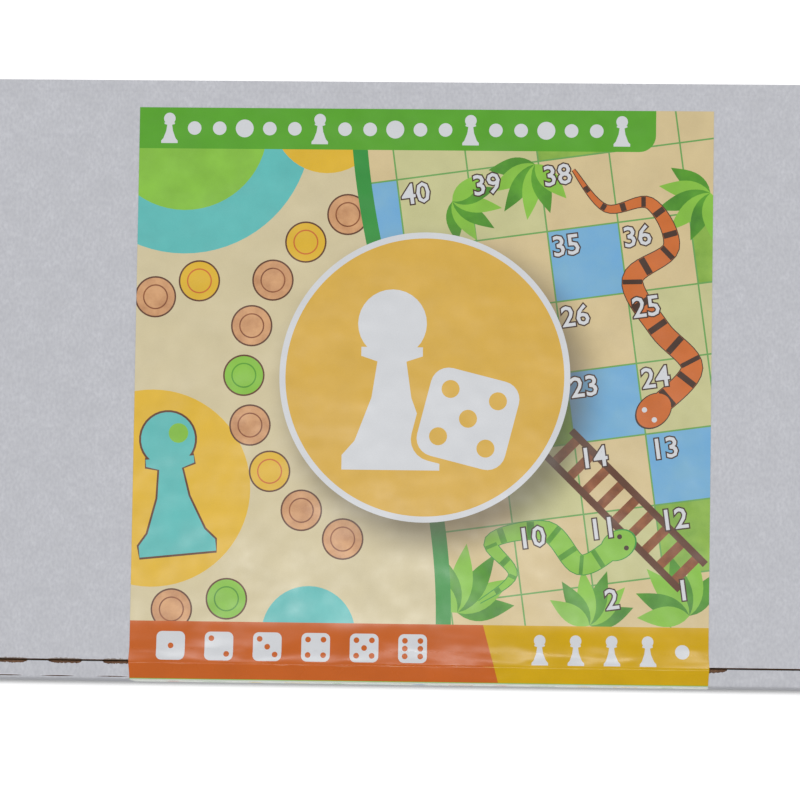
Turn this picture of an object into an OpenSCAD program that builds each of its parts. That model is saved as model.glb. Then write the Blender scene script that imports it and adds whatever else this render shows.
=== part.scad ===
// Boxed snakes and ladders game: a folded white-lined carton with a paper seal label,
// holding a two-sided plywood board, an insert, sixteen turned pawns, two dice and the rules.
// Millimetres. X runs across the label, the front wall is at -Y, Z is up, the carton lies flat.

/* [Game board] */
// Side of the square playing board
board_side = 200; // [180:1:230]
// Thickness of the plywood core
board_core_t = 5; // [3:0.5:8]
// Thickness of each printed facing sheet
board_print_t = 0.3; // [0.2:0.1:0.5]
// Corner radius of the board
board_corner_r = 6; // [2:1:12]

/* [Playing pieces] */
// Diameter of a pawn at its foot
pawn_foot_d = 18; // [14:0.5:20]
// Height of a pawn
pawn_h = 36; // [30:1:38]
// Diameter of the ball that heads a pawn
pawn_head_d = 13; // [10:0.5:14]
// Diameter of the collar below the head
pawn_collar_d = 10.5; // [9:0.5:12]
// Diameter of the neck
pawn_neck_d = 7; // [5:0.5:8]
// Thickness of the straight rim round the foot
pawn_rim_h = 3; // [2:0.5:5]
// Space left between neighbouring pieces in the bay
piece_play = 3; // [1:0.5:6]
// Side of a die
die_side = 16; // [12:1:18]
// Diameter of the ball that rounds off the corners of a die
die_ball_d = 22.4; // [21.5:0.1:23]
// Diameter of a pip
pip_d = 2.8; // [2:0.1:3.2]
// Depth of a pip
pip_depth = 0.6; // [0.3:0.1:0.8]

/* [Corrugated sheet] */
// Thickness of the corrugated sheet
sheet_t = 2; // [1.5:0.1:2.6]
// Slit left at each crease that moves
crease_gap = 0.2; // [0.1:0.05:0.4]
// Length of each cut in the perforated creases
cut_len = 12; // [6:1:14]
// Pitch of the cuts
cut_pitch = 19.5; // [16:0.5:30]
// How wide a cut on the lid side of the rolled wall gapes
cut_gape = 1.1; // [0.5:0.1:1.6]
// How wide a cut on the outer side of the rolled wall gapes
cut_gape_outer = 0.6; // [0.3:0.1:1.2]
// Depth of a cut, through the liner into the flutes
cut_depth = 1; // [0.6:0.1:1.2]
// Offset of the rows of cuts from the middle of the carton
cut_shift = 8; // [-10:1:10]
// Number of the cut that stays shut, counted from the middle
cut_shut = 6; // [-6:1:6]

/* [Carton] */
// Space for each layer trapped in the rolled front wall
layer_play = 0.2; // [0.1:0.05:0.5]
// How far the top of the rolled wall falls towards the outside, in degrees
roll_fall = 14; // [0:1:20]
// Slit between the lid and the rolled front wall
lid_slit = 0.5; // [0.4:0.1:1.5]
// Slit between the lid and each side wall
side_slit = 0.6; // [0.4:0.1:1.2]
// Space between the top of the board and the underside of the lid
headroom = 3.4; // [2:0.2:8]
// Length of the four corner flaps
corner_flap_l = 52; // [30:1:80]
// Length of the lock tabs of the rolled wall
lock_tab_l = 40; // [20:1:60]
// Distance between the two lock tabs
lock_tab_gap = 150; // [110:1:190]
// Play of the lock tabs in their slots
lock_play = 0.2; // [0.1:0.05:0.5]

/* [Lid flaps] */
// Depth of the tuck flap along the front of the lid
tuck_h = 20; // [14:1:22]
// Depth of the two ears at the sides of the lid
ear_h = 20; // [14:1:22]
// Lean of the folded flaps towards the inside, in degrees
flap_lean = 5; // [4:0.5:8]
// Space between a folded flap and the contents
flap_play = 0.6; // [0.3:0.1:2]
// Distance from the lid hinge to the start of the ears
ear_start = 45; // [40:1:60]
// Length over which the ears widen
ear_taper = 40; // [30:1:60]
// Distance of the front of the ears from the front of the lid
ear_setback = 14; // [10:1:30]
// Corner radius of the flaps
flap_r = 9; // [4:1:12]
// Setback of the tuck flap from each side of the lid
tuck_setback = 9; // [8:1:20]

/* [Insert] */
// Clear width of the bay for the pieces
bay_w = 104; // [98:1:130]
// Height of the legs below the board
riser_h = 16; // [12:1:20]
// Play round the board in its place
board_play = 2; // [1:0.5:4]
// How far the divider stops below the top of the board
divider_drop = 0.8; // [0.4:0.1:2]
// Width of the finger notch
notch_w = 36; // [24:1:44]
// Depth of the finger notch below the board
notch_depth = 12; // [8:1:14]

/* [Rules] */
// Width of the folded rules sheet
rules_w = 105; // [90:1:120]
// Depth of the folded rules sheet
rules_d = 148; // [120:1:160]
// Thickness of the paper
rules_t = 0.3; // [0.2:0.05:0.4]
// Number of leaves of the folded sheet
rules_leaves = 4; // [2:1:6]

/* [Label] */
// Width of the label
label_w = 210; // [160:1:250]
// Thickness of the label paper
label_t = 0.2; // [0.15:0.05:0.3]
// Distance from the lid hinge to the label
label_margin = 10; // [4:1:30]
// Distance from the table to the end of the label on the front wall
label_end = 4; // [2:0.5:12]

/* [Hidden] */
$fn = 96;
colours = ["red", "yellow", "green", "blue"];
paints = [[0.72, 0.10, 0.08], [0.90, 0.66, 0.08], [0.16, 0.48, 0.16], [0.08, 0.32, 0.62]];
liner = [0.74, 0.745, 0.765];
kraft = [0.55, 0.40, 0.26];
paper = [0.86, 0.85, 0.82];

// Contents, stacked up from the carton floor
floor_z = sheet_t;
deck_z = floor_z + riser_h + sheet_t;
board_t = board_core_t + 2 * board_print_t;
board_top_z = deck_z + board_t;
deck_w = board_side + 2 * board_play;
content_w = deck_w + sheet_t + bay_w;
content_d = board_side + 2 * board_play;

// Carton, sized round the contents
function flap_room(h, slit) = slit + sheet_t / cos(flap_lean) + h * sin(flap_lean) + flap_play;
in_w = content_w + 2 * flap_room(ear_h, side_slit);
carton_w = in_w + 2 * sheet_t;
carton_h = board_top_z + headroom + sheet_t;
rolled_t = 3 * sheet_t + 2 * layer_play;
back_room = 2 * sheet_t + layer_play;
carton_d = rolled_t + flap_room(tuck_h, lid_slit) + content_d + back_room;
front_y = -carton_d / 2 + label_t / 2;
back_y = front_y + carton_d;
mid_y = (front_y + back_y) / 2;
content_x = -content_w / 2;
content_y = back_y - back_room - content_d;
lid_w = in_w - 2 * side_slit;

// Corners of the folded section, as [y, z] points
function ray(a) = [cos(a), sin(a)];
function fold_in(p, a, b, t) = p + (ray(a) + ray(b)) * t / abs(sin(b - a));
roll_in = [front_y + rolled_t, carton_h];
roll_out = [front_y, carton_h - rolled_t * tan(roll_fall)];
roll_a = 180 + roll_fall;
roll_in_under = fold_in(roll_in, roll_a, 270, sheet_t);
roll_out_under = fold_in(roll_out, roll_fall, -90, sheet_t);
tuck_p = [roll_in[0] + lid_slit, carton_h];
tuck_a = -90 + flap_lean;
tuck_under = fold_in(tuck_p, 0, tuck_a, sheet_t);
hinge_p = [back_y, carton_h];
ear_p = [lid_w / 2, carton_h];
ear_a = -90 - flap_lean;
ear_under = fold_in(ear_p, 180, ear_a + 360, sheet_t);

// Places in the insert
bay_x = content_x + deck_w + sheet_t;
board_x = content_x + deck_w / 2;
board_y = content_y + content_d / 2;
notch_z = deck_z - notch_depth + notch_w / 2;

// A lying pawn touches the floor with its rim and its head
pawn_reach = pawn_h - pawn_head_d / 2 - pawn_rim_h;
pawn_tip = acos(pawn_head_d / 2 / norm([pawn_foot_d / 2, pawn_reach])) - atan2(pawn_reach, pawn_foot_d / 2);
pawn_pitch_x = pawn_foot_d + piece_play;
pawn_pitch_y = pawn_h + piece_play;
pawn_x = bay_x + bay_w / 2 - 1.5 * pawn_pitch_x;
pawn_y = content_y + content_d - piece_play;
die_y = content_y + (content_d - 4 * pawn_pitch_y) / 2;

// Sections drawn as [y, z] and run along X, or drawn as [x, z] and run along Y
module along_x(l) { rotate([90, 0, 90]) linear_extrude(l, center = true) children(); }
module along_y(l) { rotate([90, 0, 0]) linear_extrude(l, center = true) children(); }

// Bottom of the carton, mitred at its four folds, with the two slots of the lock tabs
module bottom_panel() {
    color(liner) difference() {
        intersection() {
            along_x(carton_w)
                polygon([[front_y, 0], [back_y, 0], [back_y - sheet_t, sheet_t], [front_y + sheet_t, sheet_t]]);
            translate([0, mid_y, 0]) along_y(carton_d)
                polygon([[-carton_w / 2, 0], [carton_w / 2, 0],
                         [carton_w / 2 - sheet_t, sheet_t], [sheet_t - carton_w / 2, sheet_t]]);
        }
        for (s = [-1, 1])
            translate([s * lock_tab_gap / 2, roll_in[0] - sheet_t / 2, sheet_t / 2])
                cube([lock_tab_l + 2 * lock_play, sheet_t + 2 * lock_play, 2 * sheet_t], center = true);
    }
}

// Back wall, mitred against the lid along the hinge crease
module back_wall() {
    color(liner) along_x(carton_w)
        polygon([[back_y, 0], hinge_p - [0, crease_gap / 2],
                 hinge_p - [sheet_t, sheet_t + crease_gap / 2], [back_y - sheet_t, sheet_t]]);
}

// Side wall with a raw upper edge level with the lid
module side_wall(s) {
    translate([0, mid_y, 0]) along_y(carton_d - 2 * sheet_t)
        polygon([[s * carton_w / 2, 0], [s * carton_w / 2, carton_h],
                 [s * in_w / 2, carton_h], [s * in_w / 2, sheet_t]]);
}
module side_wall_left() { color(liner) side_wall(-1); }
module side_wall_right() { color(liner) side_wall(1); }

// Flaps of the side walls, trapped in the rolled wall in front and standing inside the back wall
module corner_flap(y, top) {
    translate([-in_w / 2, y, sheet_t])
        difference() {
            cube([corner_flap_l, sheet_t, top - sheet_t]);
            translate([corner_flap_l, sheet_t / 2, top - sheet_t])
                rotate([0, 45, 0]) cube([10, 2 * sheet_t, 10], center = true);
        }
}
module corner_flaps() {
    color(liner) for (s = [0, 1]) mirror([s, 0, 0]) {
        corner_flap(front_y + sheet_t + layer_play, roll_out_under[1] - 2 * layer_play);
        corner_flap(back_y - 2 * sheet_t, carton_h - sheet_t - layer_play);
    }
}

// Rows of lens-shaped cuts along a crease at p, on the panel that leaves it at angle a
module crease_cuts(p, a, gape) {
    lens_r = (cut_len * cut_len / 4 + gape * gape) / (2 * gape);
    reach = in_w / 2 - cut_len / 2 - 1;
    first = ceil((-reach - cut_shift) / cut_pitch);
    last = floor((reach - cut_shift) / cut_pitch);
    for (i = [first:last])
        if (i != cut_shut)
            translate([i * cut_pitch + cut_shift, p[0], p[1]]) rotate([a, 0, 0])
                translate([0, gape - lens_r, -cut_depth]) cylinder(r = lens_r, h = 2 * cut_depth);
}

// Rolled front wall: the outer panel, the strip over its top and the inner panel with its tabs
module front_wall_outer() {
    color(liner) along_x(carton_w)
        polygon([[front_y, 0], roll_out, roll_out_under, [front_y + sheet_t, sheet_t]]);
}
module front_wall_top() {
    color(liner) difference() {
        along_x(in_w - 2 * layer_play) polygon([roll_in, roll_out, roll_out_under, roll_in_under]);
        mirror([0, 1, 0]) crease_cuts([-roll_in[0], roll_in[1]], -roll_fall, cut_gape);
        crease_cuts(roll_out, roll_fall, cut_gape_outer);
    }
}
module front_wall_inner() {
    color(liner) {
        along_x(in_w - 2 * layer_play)
            polygon([roll_in, roll_in_under, [roll_in[0] - sheet_t, sheet_t], [roll_in[0], sheet_t]]);
        for (s = [-1, 1])
            translate([s * lock_tab_gap / 2 - lock_tab_l / 2, roll_in[0] - sheet_t, lock_play])
                cube([lock_tab_l, sheet_t, sheet_t]);
    }
}

// Seal label, slit along the edge of the lid: the front half on the rolled wall, the rest on the lid
module label_front() {
    seam = [roll_in[0] + lid_slit / 2 - crease_gap / 2, carton_h];
    lift = label_t / sin(90 - roll_fall / 2) * ray(90 + roll_fall / 2);
    bend = fold_in(roll_out, roll_fall, -90, -label_t);
    color(paper) along_x(label_w)
        polygon([seam, roll_in, roll_out, [front_y, label_end], [front_y - label_t, label_end],
                 bend, roll_in + lift, seam + [0, label_t]]);
}
module label_lid() {
    y0 = roll_in[0] + lid_slit / 2 + crease_gap / 2;
    color(paper) translate([-label_w / 2, y0, carton_h]) cube([label_w, back_y - label_margin - y0, label_t]);
}

// Lid, mitred at the hinge, the tuck flap and the two ears
ear_y0 = tuck_p[0] + ear_setback;
ear_y1 = back_y - ear_start;
module ear_wedge() {
    translate([0, (ear_y0 + ear_y1) / 2, 0]) along_y(ear_y1 - ear_y0 + crease_gap)
        polygon([ear_p - [crease_gap / 2, 0], ear_under - [crease_gap / 2, 0],
                 ear_under - [crease_gap / 2, 1], ear_p + [1, -sheet_t - 1], ear_p + [1, 1],
                 ear_p + [-crease_gap / 2, 1]]);
}
module lid_panel() {
    tuck_step = [crease_gap / 2, 0];
    color(liner) difference() {
        along_x(lid_w)
            polygon([tuck_p + tuck_step, hinge_p - tuck_step,
                     hinge_p - [sheet_t, sheet_t] - tuck_step, tuck_under + tuck_step]);
        ear_wedge();
        mirror([1, 0, 0]) ear_wedge();
    }
}

// Outline of a flap that hangs from y0 to y1 at the top and from b0 to b1 at its rounded lower edge
module flap_outline(y0, y1, b0, b1, h) {
    z = carton_h - h;
    difference() {
        polygon([[y0, carton_h + 1], [y1, carton_h + 1], [y1, carton_h - 1], [b1, z + flap_r],
                 [b1, z - 1], [b0, z - 1], [b0, z + flap_r], [y0, carton_h - 1]]);
        for (e = [b0, b1 - flap_r])
            difference() {
                translate([e, z - 2]) square([flap_r, flap_r + 2]);
                translate([b0 + flap_r, z + flap_r]) circle(flap_r);
                translate([b1 - flap_r, z + flap_r]) circle(flap_r);
            }
    }
}

// Tuck flap, behind the rolled wall
module tuck_flap() {
    d = ray(tuck_a);
    side = sheet_t * ray(tuck_a + 90);
    half = lid_w / 2 - tuck_setback;
    color(liner) intersection() {
        along_x(lid_w)
            polygon([tuck_p + d * crease_gap / 2, tuck_under + d * crease_gap / 2,
                     tuck_p + d * tuck_h + side, tuck_p + d * tuck_h]);
        translate([0, tuck_p[0], 0]) along_y(4 * tuck_h)
            flap_outline(-half, half, 6 - half, half - 6, tuck_h * cos(flap_lean));
    }
}

// Ears, inside the side walls, cut back towards the hinge
module lid_ear() {
    d = ray(ear_a);
    side = sheet_t * ray(ear_a - 90);
    intersection() {
        translate([0, mid_y, 0]) along_y(carton_d)
            polygon([ear_p + d * crease_gap / 2, ear_under + d * crease_gap / 2,
                     ear_p + d * ear_h + side, ear_p + d * ear_h]);
        translate([lid_w / 2, 0, 0]) along_x(4 * ear_h)
            flap_outline(ear_y0, ear_y1, ear_y0 + 4, ear_y1 - ear_taper, ear_h * cos(flap_lean));
    }
}
module lid_ear_left() { color(liner) mirror([1, 0, 0]) lid_ear(); }
module lid_ear_right() { color(liner) lid_ear(); }

// Insert that carries the board, with a finger notch on the side of the bay
module finger_notch() {
    translate([bay_x + 1, board_y, notch_z]) rotate([0, -90, 0])
        cylinder(d = notch_w, h = 2 * sheet_t + 2);
    translate([bay_x - 2 * sheet_t - 1, board_y - notch_w / 2, notch_z])
        cube([2 * sheet_t + 2, notch_w, carton_h]);
}
module insert_deck() {
    color(kraft) difference() {
        translate([content_x, content_y, deck_z - sheet_t]) cube([deck_w, content_d, sheet_t]);
        translate([content_x + deck_w, board_y, deck_z - 2 * sheet_t])
            cylinder(d = notch_w, h = 3 * sheet_t);
    }
}
module insert_leg_left() {
    color(kraft) translate([content_x, content_y, floor_z]) cube([sheet_t, content_d, riser_h]);
}
module insert_leg_right() {
    color(kraft) difference() {
        translate([content_x + deck_w - sheet_t, content_y, floor_z]) cube([sheet_t, content_d, riser_h]);
        finger_notch();
    }
}
module insert_divider() {
    color(kraft) difference() {
        translate([content_x + deck_w, content_y, floor_z])
            cube([sheet_t, content_d, board_top_z - divider_drop - floor_z]);
        finger_notch();
    }
}

// Rules: one sheet folded to and fro, lying on the carton floor below the board
module rules_leaflet() {
    step = 2 * rules_t;
    color(paper) translate([board_x, board_y, floor_z]) along_y(rules_d) {
        for (i = [0:rules_leaves - 1])
            translate([-rules_w / 2, i * step]) square([rules_w, rules_t]);
        for (i = [0:rules_leaves - 2])
            translate([(i % 2 == 0 ? 1 : -1) * rules_w / 2, i * step + 1.5 * rules_t]) difference() {
                circle(1.5 * rules_t);
                circle(0.5 * rules_t);
                translate([(i % 2 == 0 ? -1 : 1) * 2 * rules_t, 0]) square(4 * rules_t, center = true);
            }
    }
}

// Board: a plywood core with a printed sheet on each face
module board_slab(z, t) {
    s = board_side / 2;
    r = board_corner_r;
    translate([board_x, board_y, z]) linear_extrude(t) {
        square([2 * s, 2 * (s - r)], center = true);
        square([2 * (s - r), 2 * s], center = true);
        for (i = [-1, 1], j = [-1, 1]) translate([i * (s - r), j * (s - r)]) circle(r);
    }
}
module board_core() { color([0.78, 0.62, 0.42]) board_slab(deck_z + board_print_t, board_core_t); }
module board_print_top() { color(paper) board_slab(board_top_z - board_print_t, board_print_t); }
module board_print_bottom() { color(paper) board_slab(deck_z, board_print_t); }

// Turned pawn, standing on the origin: rim, waisted body, collar and ball
module pawn() {
    foot = pawn_foot_d / 2;
    neck_z = pawn_h - pawn_head_d - 2;
    waist_h = neck_z - pawn_rim_h;
    waist_w = foot - 1 - pawn_neck_d / 2;
    waist_r = (waist_h * waist_h + waist_w * waist_w) / (2 * waist_w);
    rotate_extrude() {
        difference() {
            union() {
                square([foot, pawn_rim_h]);
                translate([0, pawn_rim_h]) square([foot - 1, waist_h + 1]);
            }
            translate([pawn_neck_d / 2 + waist_r, neck_z]) circle(waist_r);
            translate([pawn_neck_d / 2, neck_z]) square([foot, 2]);
        }
        square([pawn_neck_d / 2, pawn_h - pawn_head_d / 2]);
        translate([0, neck_z]) square([pawn_collar_d / 2, 1.6]);
        intersection() {
            translate([0, pawn_h - pawn_head_d / 2]) circle(d = pawn_head_d);
            square([pawn_h, pawn_h]);
        }
    }
}

// The same pawn lying in the bay, its head towards the front
module lying_pawn(column, row) {
    translate([pawn_x + column * pawn_pitch_x, pawn_y - row * pawn_pitch_y, floor_z])
        translate([0, -pawn_rim_h, cos(pawn_tip) * pawn_foot_d / 2]) rotate([90 + pawn_tip, 0, 0])
            translate([0, 0, -pawn_rim_h]) pawn();
}

// Wooden die with rounded corners and hollow pips, opposite faces adding up to seven
function pips(n) = [for (i = [-1:1], j = [-1:1])
    if ((i == 0 && j == 0 && n % 2 == 1) || (abs(i * j) == 1 && (n > 3 || (n > 1 && i == j)))
        || (n == 6 && j == 0 && i != 0)) [i, j]];
module die_face(n) {
    ball_r = (pip_d * pip_d / 4 + pip_depth * pip_depth) / (2 * pip_depth);
    for (p = pips(n))
        translate([p[0] * die_side / 4, p[1] * die_side / 4, die_side / 2 - pip_depth + ball_r]) sphere(ball_r);
}
module die(x, turn) {
    translate([x, die_y, floor_z + die_side / 2]) rotate([0, 0, turn])
        difference() {
            intersection() {
                cube(die_side, center = true);
                sphere(d = die_ball_d * die_side / 16);
            }
            die_face(5);
            rotate([180, 0, 0]) die_face(2);
            rotate([90, 0, 0]) die_face(4);
            rotate([-90, 0, 0]) die_face(3);
            rotate([0, 90, 0]) die_face(6);
            rotate([0, -90, 0]) die_face(1);
        }
}
module die_1() { color([0.86, 0.74, 0.55]) die(bay_x + bay_w / 2 - die_side, 20); }
module die_2() { color([0.86, 0.74, 0.55]) die(bay_x + bay_w / 2 + die_side, -35); }

bottom_panel();
back_wall();
side_wall_left();
side_wall_right();
corner_flaps();
front_wall_outer();
front_wall_top();
front_wall_inner();
label_front();
lid_panel();
label_lid();
tuck_flap();
lid_ear_left();
lid_ear_right();
insert_deck();
insert_leg_left();
insert_leg_right();
insert_divider();
rules_leaflet();
board_core();
board_print_top();
board_print_bottom();
for (c = [0:3], k = [0:3])
    color(paints[c]) lying_pawn(c, k);
die_1();
die_2();
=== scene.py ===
"""Boxed snakes and ladders game: the looks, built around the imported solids."""

import functools
import math
import random

import bpy
import numpy as np
from mathutils import Matrix, Vector
from mathutils.geometry import delaunay_2d_cdt


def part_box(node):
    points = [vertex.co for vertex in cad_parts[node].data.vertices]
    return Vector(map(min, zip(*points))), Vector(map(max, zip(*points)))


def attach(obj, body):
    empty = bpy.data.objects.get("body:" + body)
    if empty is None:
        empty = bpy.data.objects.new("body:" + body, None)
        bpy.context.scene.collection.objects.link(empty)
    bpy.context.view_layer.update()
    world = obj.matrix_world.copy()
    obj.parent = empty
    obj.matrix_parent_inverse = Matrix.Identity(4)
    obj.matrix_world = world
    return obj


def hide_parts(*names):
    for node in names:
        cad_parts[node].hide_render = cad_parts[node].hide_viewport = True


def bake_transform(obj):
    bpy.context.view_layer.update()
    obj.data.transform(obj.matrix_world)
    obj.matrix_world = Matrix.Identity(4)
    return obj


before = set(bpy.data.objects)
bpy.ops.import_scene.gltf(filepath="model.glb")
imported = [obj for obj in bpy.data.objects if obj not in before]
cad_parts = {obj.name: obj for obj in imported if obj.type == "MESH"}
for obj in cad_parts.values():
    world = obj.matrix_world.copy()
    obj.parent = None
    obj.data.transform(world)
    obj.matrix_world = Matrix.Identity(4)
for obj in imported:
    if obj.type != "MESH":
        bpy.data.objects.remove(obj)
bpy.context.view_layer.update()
rng = random.Random(7)
scene = bpy.context.scene

MM = 0.001  # sizes are in millimetres, and MM turns them into metres


def mm_box(node):
    """Lowest and highest corner of a node, in millimetres."""
    lo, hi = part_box(node)
    return np.array(lo) / MM, np.array(hi) / MM


# Places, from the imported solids
LID_LO, LID_HI = mm_box("lid_panel")
WALL_HI = mm_box("back_wall")[1]
STRIP_LO, STRIP_HI = mm_box("front_wall_top")
DECK_LO, DECK_HI = mm_box("insert_deck")
DIVIDER_LO, DIVIDER_HI = mm_box("insert_divider")
BOARD_LO, BOARD_HI = mm_box("board_core")
LABEL_LO, LABEL_HI = mm_box("label_lid")
FRONT, BACK, TOP, HALF_W = STRIP_LO[1], WALL_HI[1], LID_HI[2], WALL_HI[0]
FLOOR = DIVIDER_LO[2]
UP = (0, 0, 1)

# Corrugated board
SHEET = 2.0
LINER = 0.3
MEDIUM = 0.22
FLUTE_PITCH = 3.2
FLUTE_SAMPLES = 8
CARTON_SLOT, INSERT_SLOT = "white_liner_board", "kraft_board"

# Corner flaps and the tabs of the inner front wall
CORNER_L, CORNER_CUT = 52.0, 7.07
CORNER_GAP = 0.2
FRONT_CORNER_TOP = 27.44
TAB_GAP, TAB_L, TAB_END = 150.0, 40.0, 0.2

# Folded front wall: creases A (at the slit) and B (at the outer edge), as y, z
ROLL_FALL = math.radians(14)
CREASE_A = (STRIP_HI[1], TOP)
CREASE_B = (FRONT, TOP - (STRIP_HI[1] - FRONT) * math.tan(ROLL_FALL))
ROUND_A, ROUND_B = 0.3, 1.3
FILLET = 8  # steps of a rounded corner
STRIP_DOWN_A, STRIP_DOWN_B = 0.4, 0.02  # how far the strip's liner goes on below its roundings
CORE_STEPS, CORE_END = 220, 0.1
CORE_ROUGH_Y, CORE_ROUGH_Z = (-0.05, 0.05), (-0.16, 0.12)

# Lid, its flaps and its hinge
CREASE_HALF_GAP = 0.1
FLAP_L, FLAP_R, FLAP_STRAIGHT = 20.0, 9.0, 1.0
FLAP_LEAN = math.radians(5)
FLAP_MITRE = math.tan((math.pi / 2 + FLAP_LEAN) / 2)
TUCK_TAPER, EAR_TAPER_FRONT, EAR_TAPER_BACK = 6, 4, 40
HINGE_PROUD, HINGE_R, HINGE_REACH, HINGE_BEND = 0.03, 0.18, 4.0, 1.2

# Cuts of the perforated creases; number CUT_SHUT is closed
CUT_PITCH, CUT_SHIFT, CUT_LEN, CUT_SHUT = 19.5, 8.0, 12.0, 6
CUT_MARGIN, CUT_START, CUT_RAG = 1, 0.12, 0.26
CUT_GAPE, GAPE_LEFT, GAPE_RIGHT = 1.15, 0.75, 1.15
CUT_LONG, CUT_WIDE, CUT_SKEW, CUT_BLUNT = (0.95, 1.1), (0.85, 1.1), (-0.4, 0.4), (4, 6, 8)
OUTER_GAPE, OUTER_WIDE, OUTER_RIGHT, OUTER_SHIFT = 0.36, (0.8, 1.1), 0.35, (-2.8, -1.6)
# OUTER_RAG belongs to the outer cuts; the other three shape the brighter lip above each of them: ripped
# liner fibres and a painted highlight of the lifted liner edge
OUTER_RAG, TORN_HIGHLIGHT_RAG, TORN_HIGHLIGHT_PAST, TORN_HIGHLIGHT_RIM = 0.04, 0.03, 0.3, 0.25
FRAY, FRAY_RAG = 0.38, 0.2  # frayed liner on the lid

# Finger notch of the insert
NOTCH_R, NOTCH_DEPTH = 18.0, 12.0

# Label: the slit across it, its make, its bands and its disc
SEAM = (LABEL_LO[1] + mm_box("label_front")[1][1]) / 2
LABEL_T = 0.18
LABEL_LIFT = 0.02
LABEL_END = 4.0
DIP_START, DIP_DEPTH = SEAM + 5.0, 0.25
SEAM_GAP, WRAP_IN, WRAP_SAG, WRAP_ROUND = 0.015, 0.38, 0.13, 0.9
BAND_TOP, BAND_LOW = 84.7, -88.3
DISC, DISC_R, RING_R = (0.9, 1.55), 50.8, 53.0
SHADE_SHIFT, SHADE_FROM, SHADE_TO = (5, -6), 46, 64
# lighter lines along the slit on the label, a painted highlight: their lengths, gaps, thickness, distance in
# from the slit, tilt, and the x where orange gives way to yellow
CREASE_HIGHLIGHT_LONG, CREASE_HIGHLIGHT_GAP, CREASE_HIGHLIGHT_THICK = (5, 14), (1, 7), (0.1, 0.25)
CREASE_HIGHLIGHT_IN, CREASE_HIGHLIGHT_TILT, CREASE_HIGHLIGHT_CHANGE = (0.3, 0.8), (-0.2, 0.2), 27
FLARE, FLARE_REACH = 0.0035, 3.5


# Materials

def lin(rgb, gain=1.0):
    """Linear colour of an sRGB triple from 0 to 255."""
    c = np.array(rgb) / 255
    return (*(gain * np.where(c > 0.04045, ((c + 0.055) / 1.055) ** 2.4, c / 12.92)), 1.0)


class Graph:
    """Small helper round the node tree of a material or a world."""

    def __init__(self, owner):
        owner.use_nodes = True
        self.owner, self.tree = owner, owner.node_tree

    def node(self, kind, inputs=None, **props):
        n = self.tree.nodes.new("ShaderNode" + kind)
        for key, value in props.items():
            setattr(n, key, value)
        for key, value in (inputs or {}).items():
            self.put(n.inputs[key], value)
        return n

    def put(self, socket, value):
        if isinstance(value, bpy.types.NodeSocket):
            self.tree.links.new(value, socket)
        else:
            socket.default_value = value

    def math(self, operation, a, b=0.0):
        return self.node("Math", {0: a, 1: b}, operation=operation).outputs[0]

    def vector(self, operation, a, b=None):
        n = self.node("VectorMath", {0: a} if b is None else {0: a, 1: b}, operation=operation)
        return n.outputs["Value" if operation == "LENGTH" else "Vector"]

    def spread(self, value, low, high, to_low=0.0, to_high=1.0, kind="LINEAR"):
        return self.node("MapRange", {"Value": value, "From Min": low, "From Max": high,
                                      "To Min": to_low, "To Max": to_high},
                         interpolation_type=kind).outputs[0]


class Surface(Graph):
    """A material, made in object coordinates."""

    def __init__(self, name):
        super().__init__(bpy.data.materials.new(name))
        self.coord = self.node("TexCoord").outputs["Object"]

    def axes(self, vector=None):
        return self.node("SeparateXYZ", {0: self.coord if vector is None else vector}).outputs

    def noise(self, scale, detail=3.0, stretch=None, rough=0.55, vector=None):
        vector = self.coord if vector is None else vector
        if stretch:
            vector = self.node("Mapping", {"Vector": vector, "Scale": stretch}).outputs[0]
        return self.node("TexNoise", {"Vector": vector, "Scale": scale, "Detail": detail,
                                      "Roughness": rough}).outputs["Fac"]

    def clouds(self, *size, **more):
        return self.spread(self.noise(*size, **more), 0.3, 0.7)

    def mix(self, factor, a, b, share=None):
        if share is not None:
            factor = self.math("MULTIPLY", factor, share)
        return self.node("Mix", {0: factor, 6: a, 7: b}, data_type="RGBA").outputs[2]

    def bump(self, height, strength, distance, normal=None):
        inputs = {"Height": height, "Strength": strength, "Distance": distance}
        if normal is not None:
            inputs["Normal"] = normal
        return self.node("Bump", inputs).outputs[0]

    def finish(self, colour, rough, normal, specular):
        sockets = self.tree.nodes["Principled BSDF"].inputs
        self.put(sockets["Base Color"], colour)
        self.put(sockets["Roughness"], rough)
        self.put(sockets["Normal"], normal)
        self.put(sockets["Specular IOR Level"], specular)
        return self.owner


def board_paper(name, tone, wash, depth, fibre, rough=0.78, flute_axis=None):
    """Paper face of corrugated board: cloudy, fibrous, faintly ribbed by the flutes below it."""
    g = Surface(name)
    cloud = g.clouds(150, 2.0)
    fleck = g.spread(g.noise(1000, 2.0, (1, 0.6, 1)), 0.35, 0.65)
    colour = g.mix(cloud, lin(tone, 1 - wash), lin(tone, 1 + 1.5 * wash))
    colour = g.mix(g.clouds(420, rough=0.6), colour, lin(tone, 1 - 1.6 * wash), 0.6)
    colour = g.mix(fleck, colour, lin(fibre), 0.5)
    grain = g.bump(g.noise(2600), 0.25, depth)
    if flute_axis is not None:
        turns = g.math("MULTIPLY", g.axes()[flute_axis], 2 * math.pi / (FLUTE_PITCH * MM))
        grain = g.bump(g.math("SINE", turns), 0.10, 0.00003, grain)
    return g.finish(colour, g.spread(cloud, 0, 1, rough - 0.05, rough + 0.05), grain, 0.25)


def liners(kind, *look):
    """One paper three times, with its ribs counted along x, y and z."""
    return [board_paper(f"{kind}_liner_{place}", *look, flute_axis=k)
            for k, place in enumerate(("flap", "lid", "wall"))]


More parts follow.
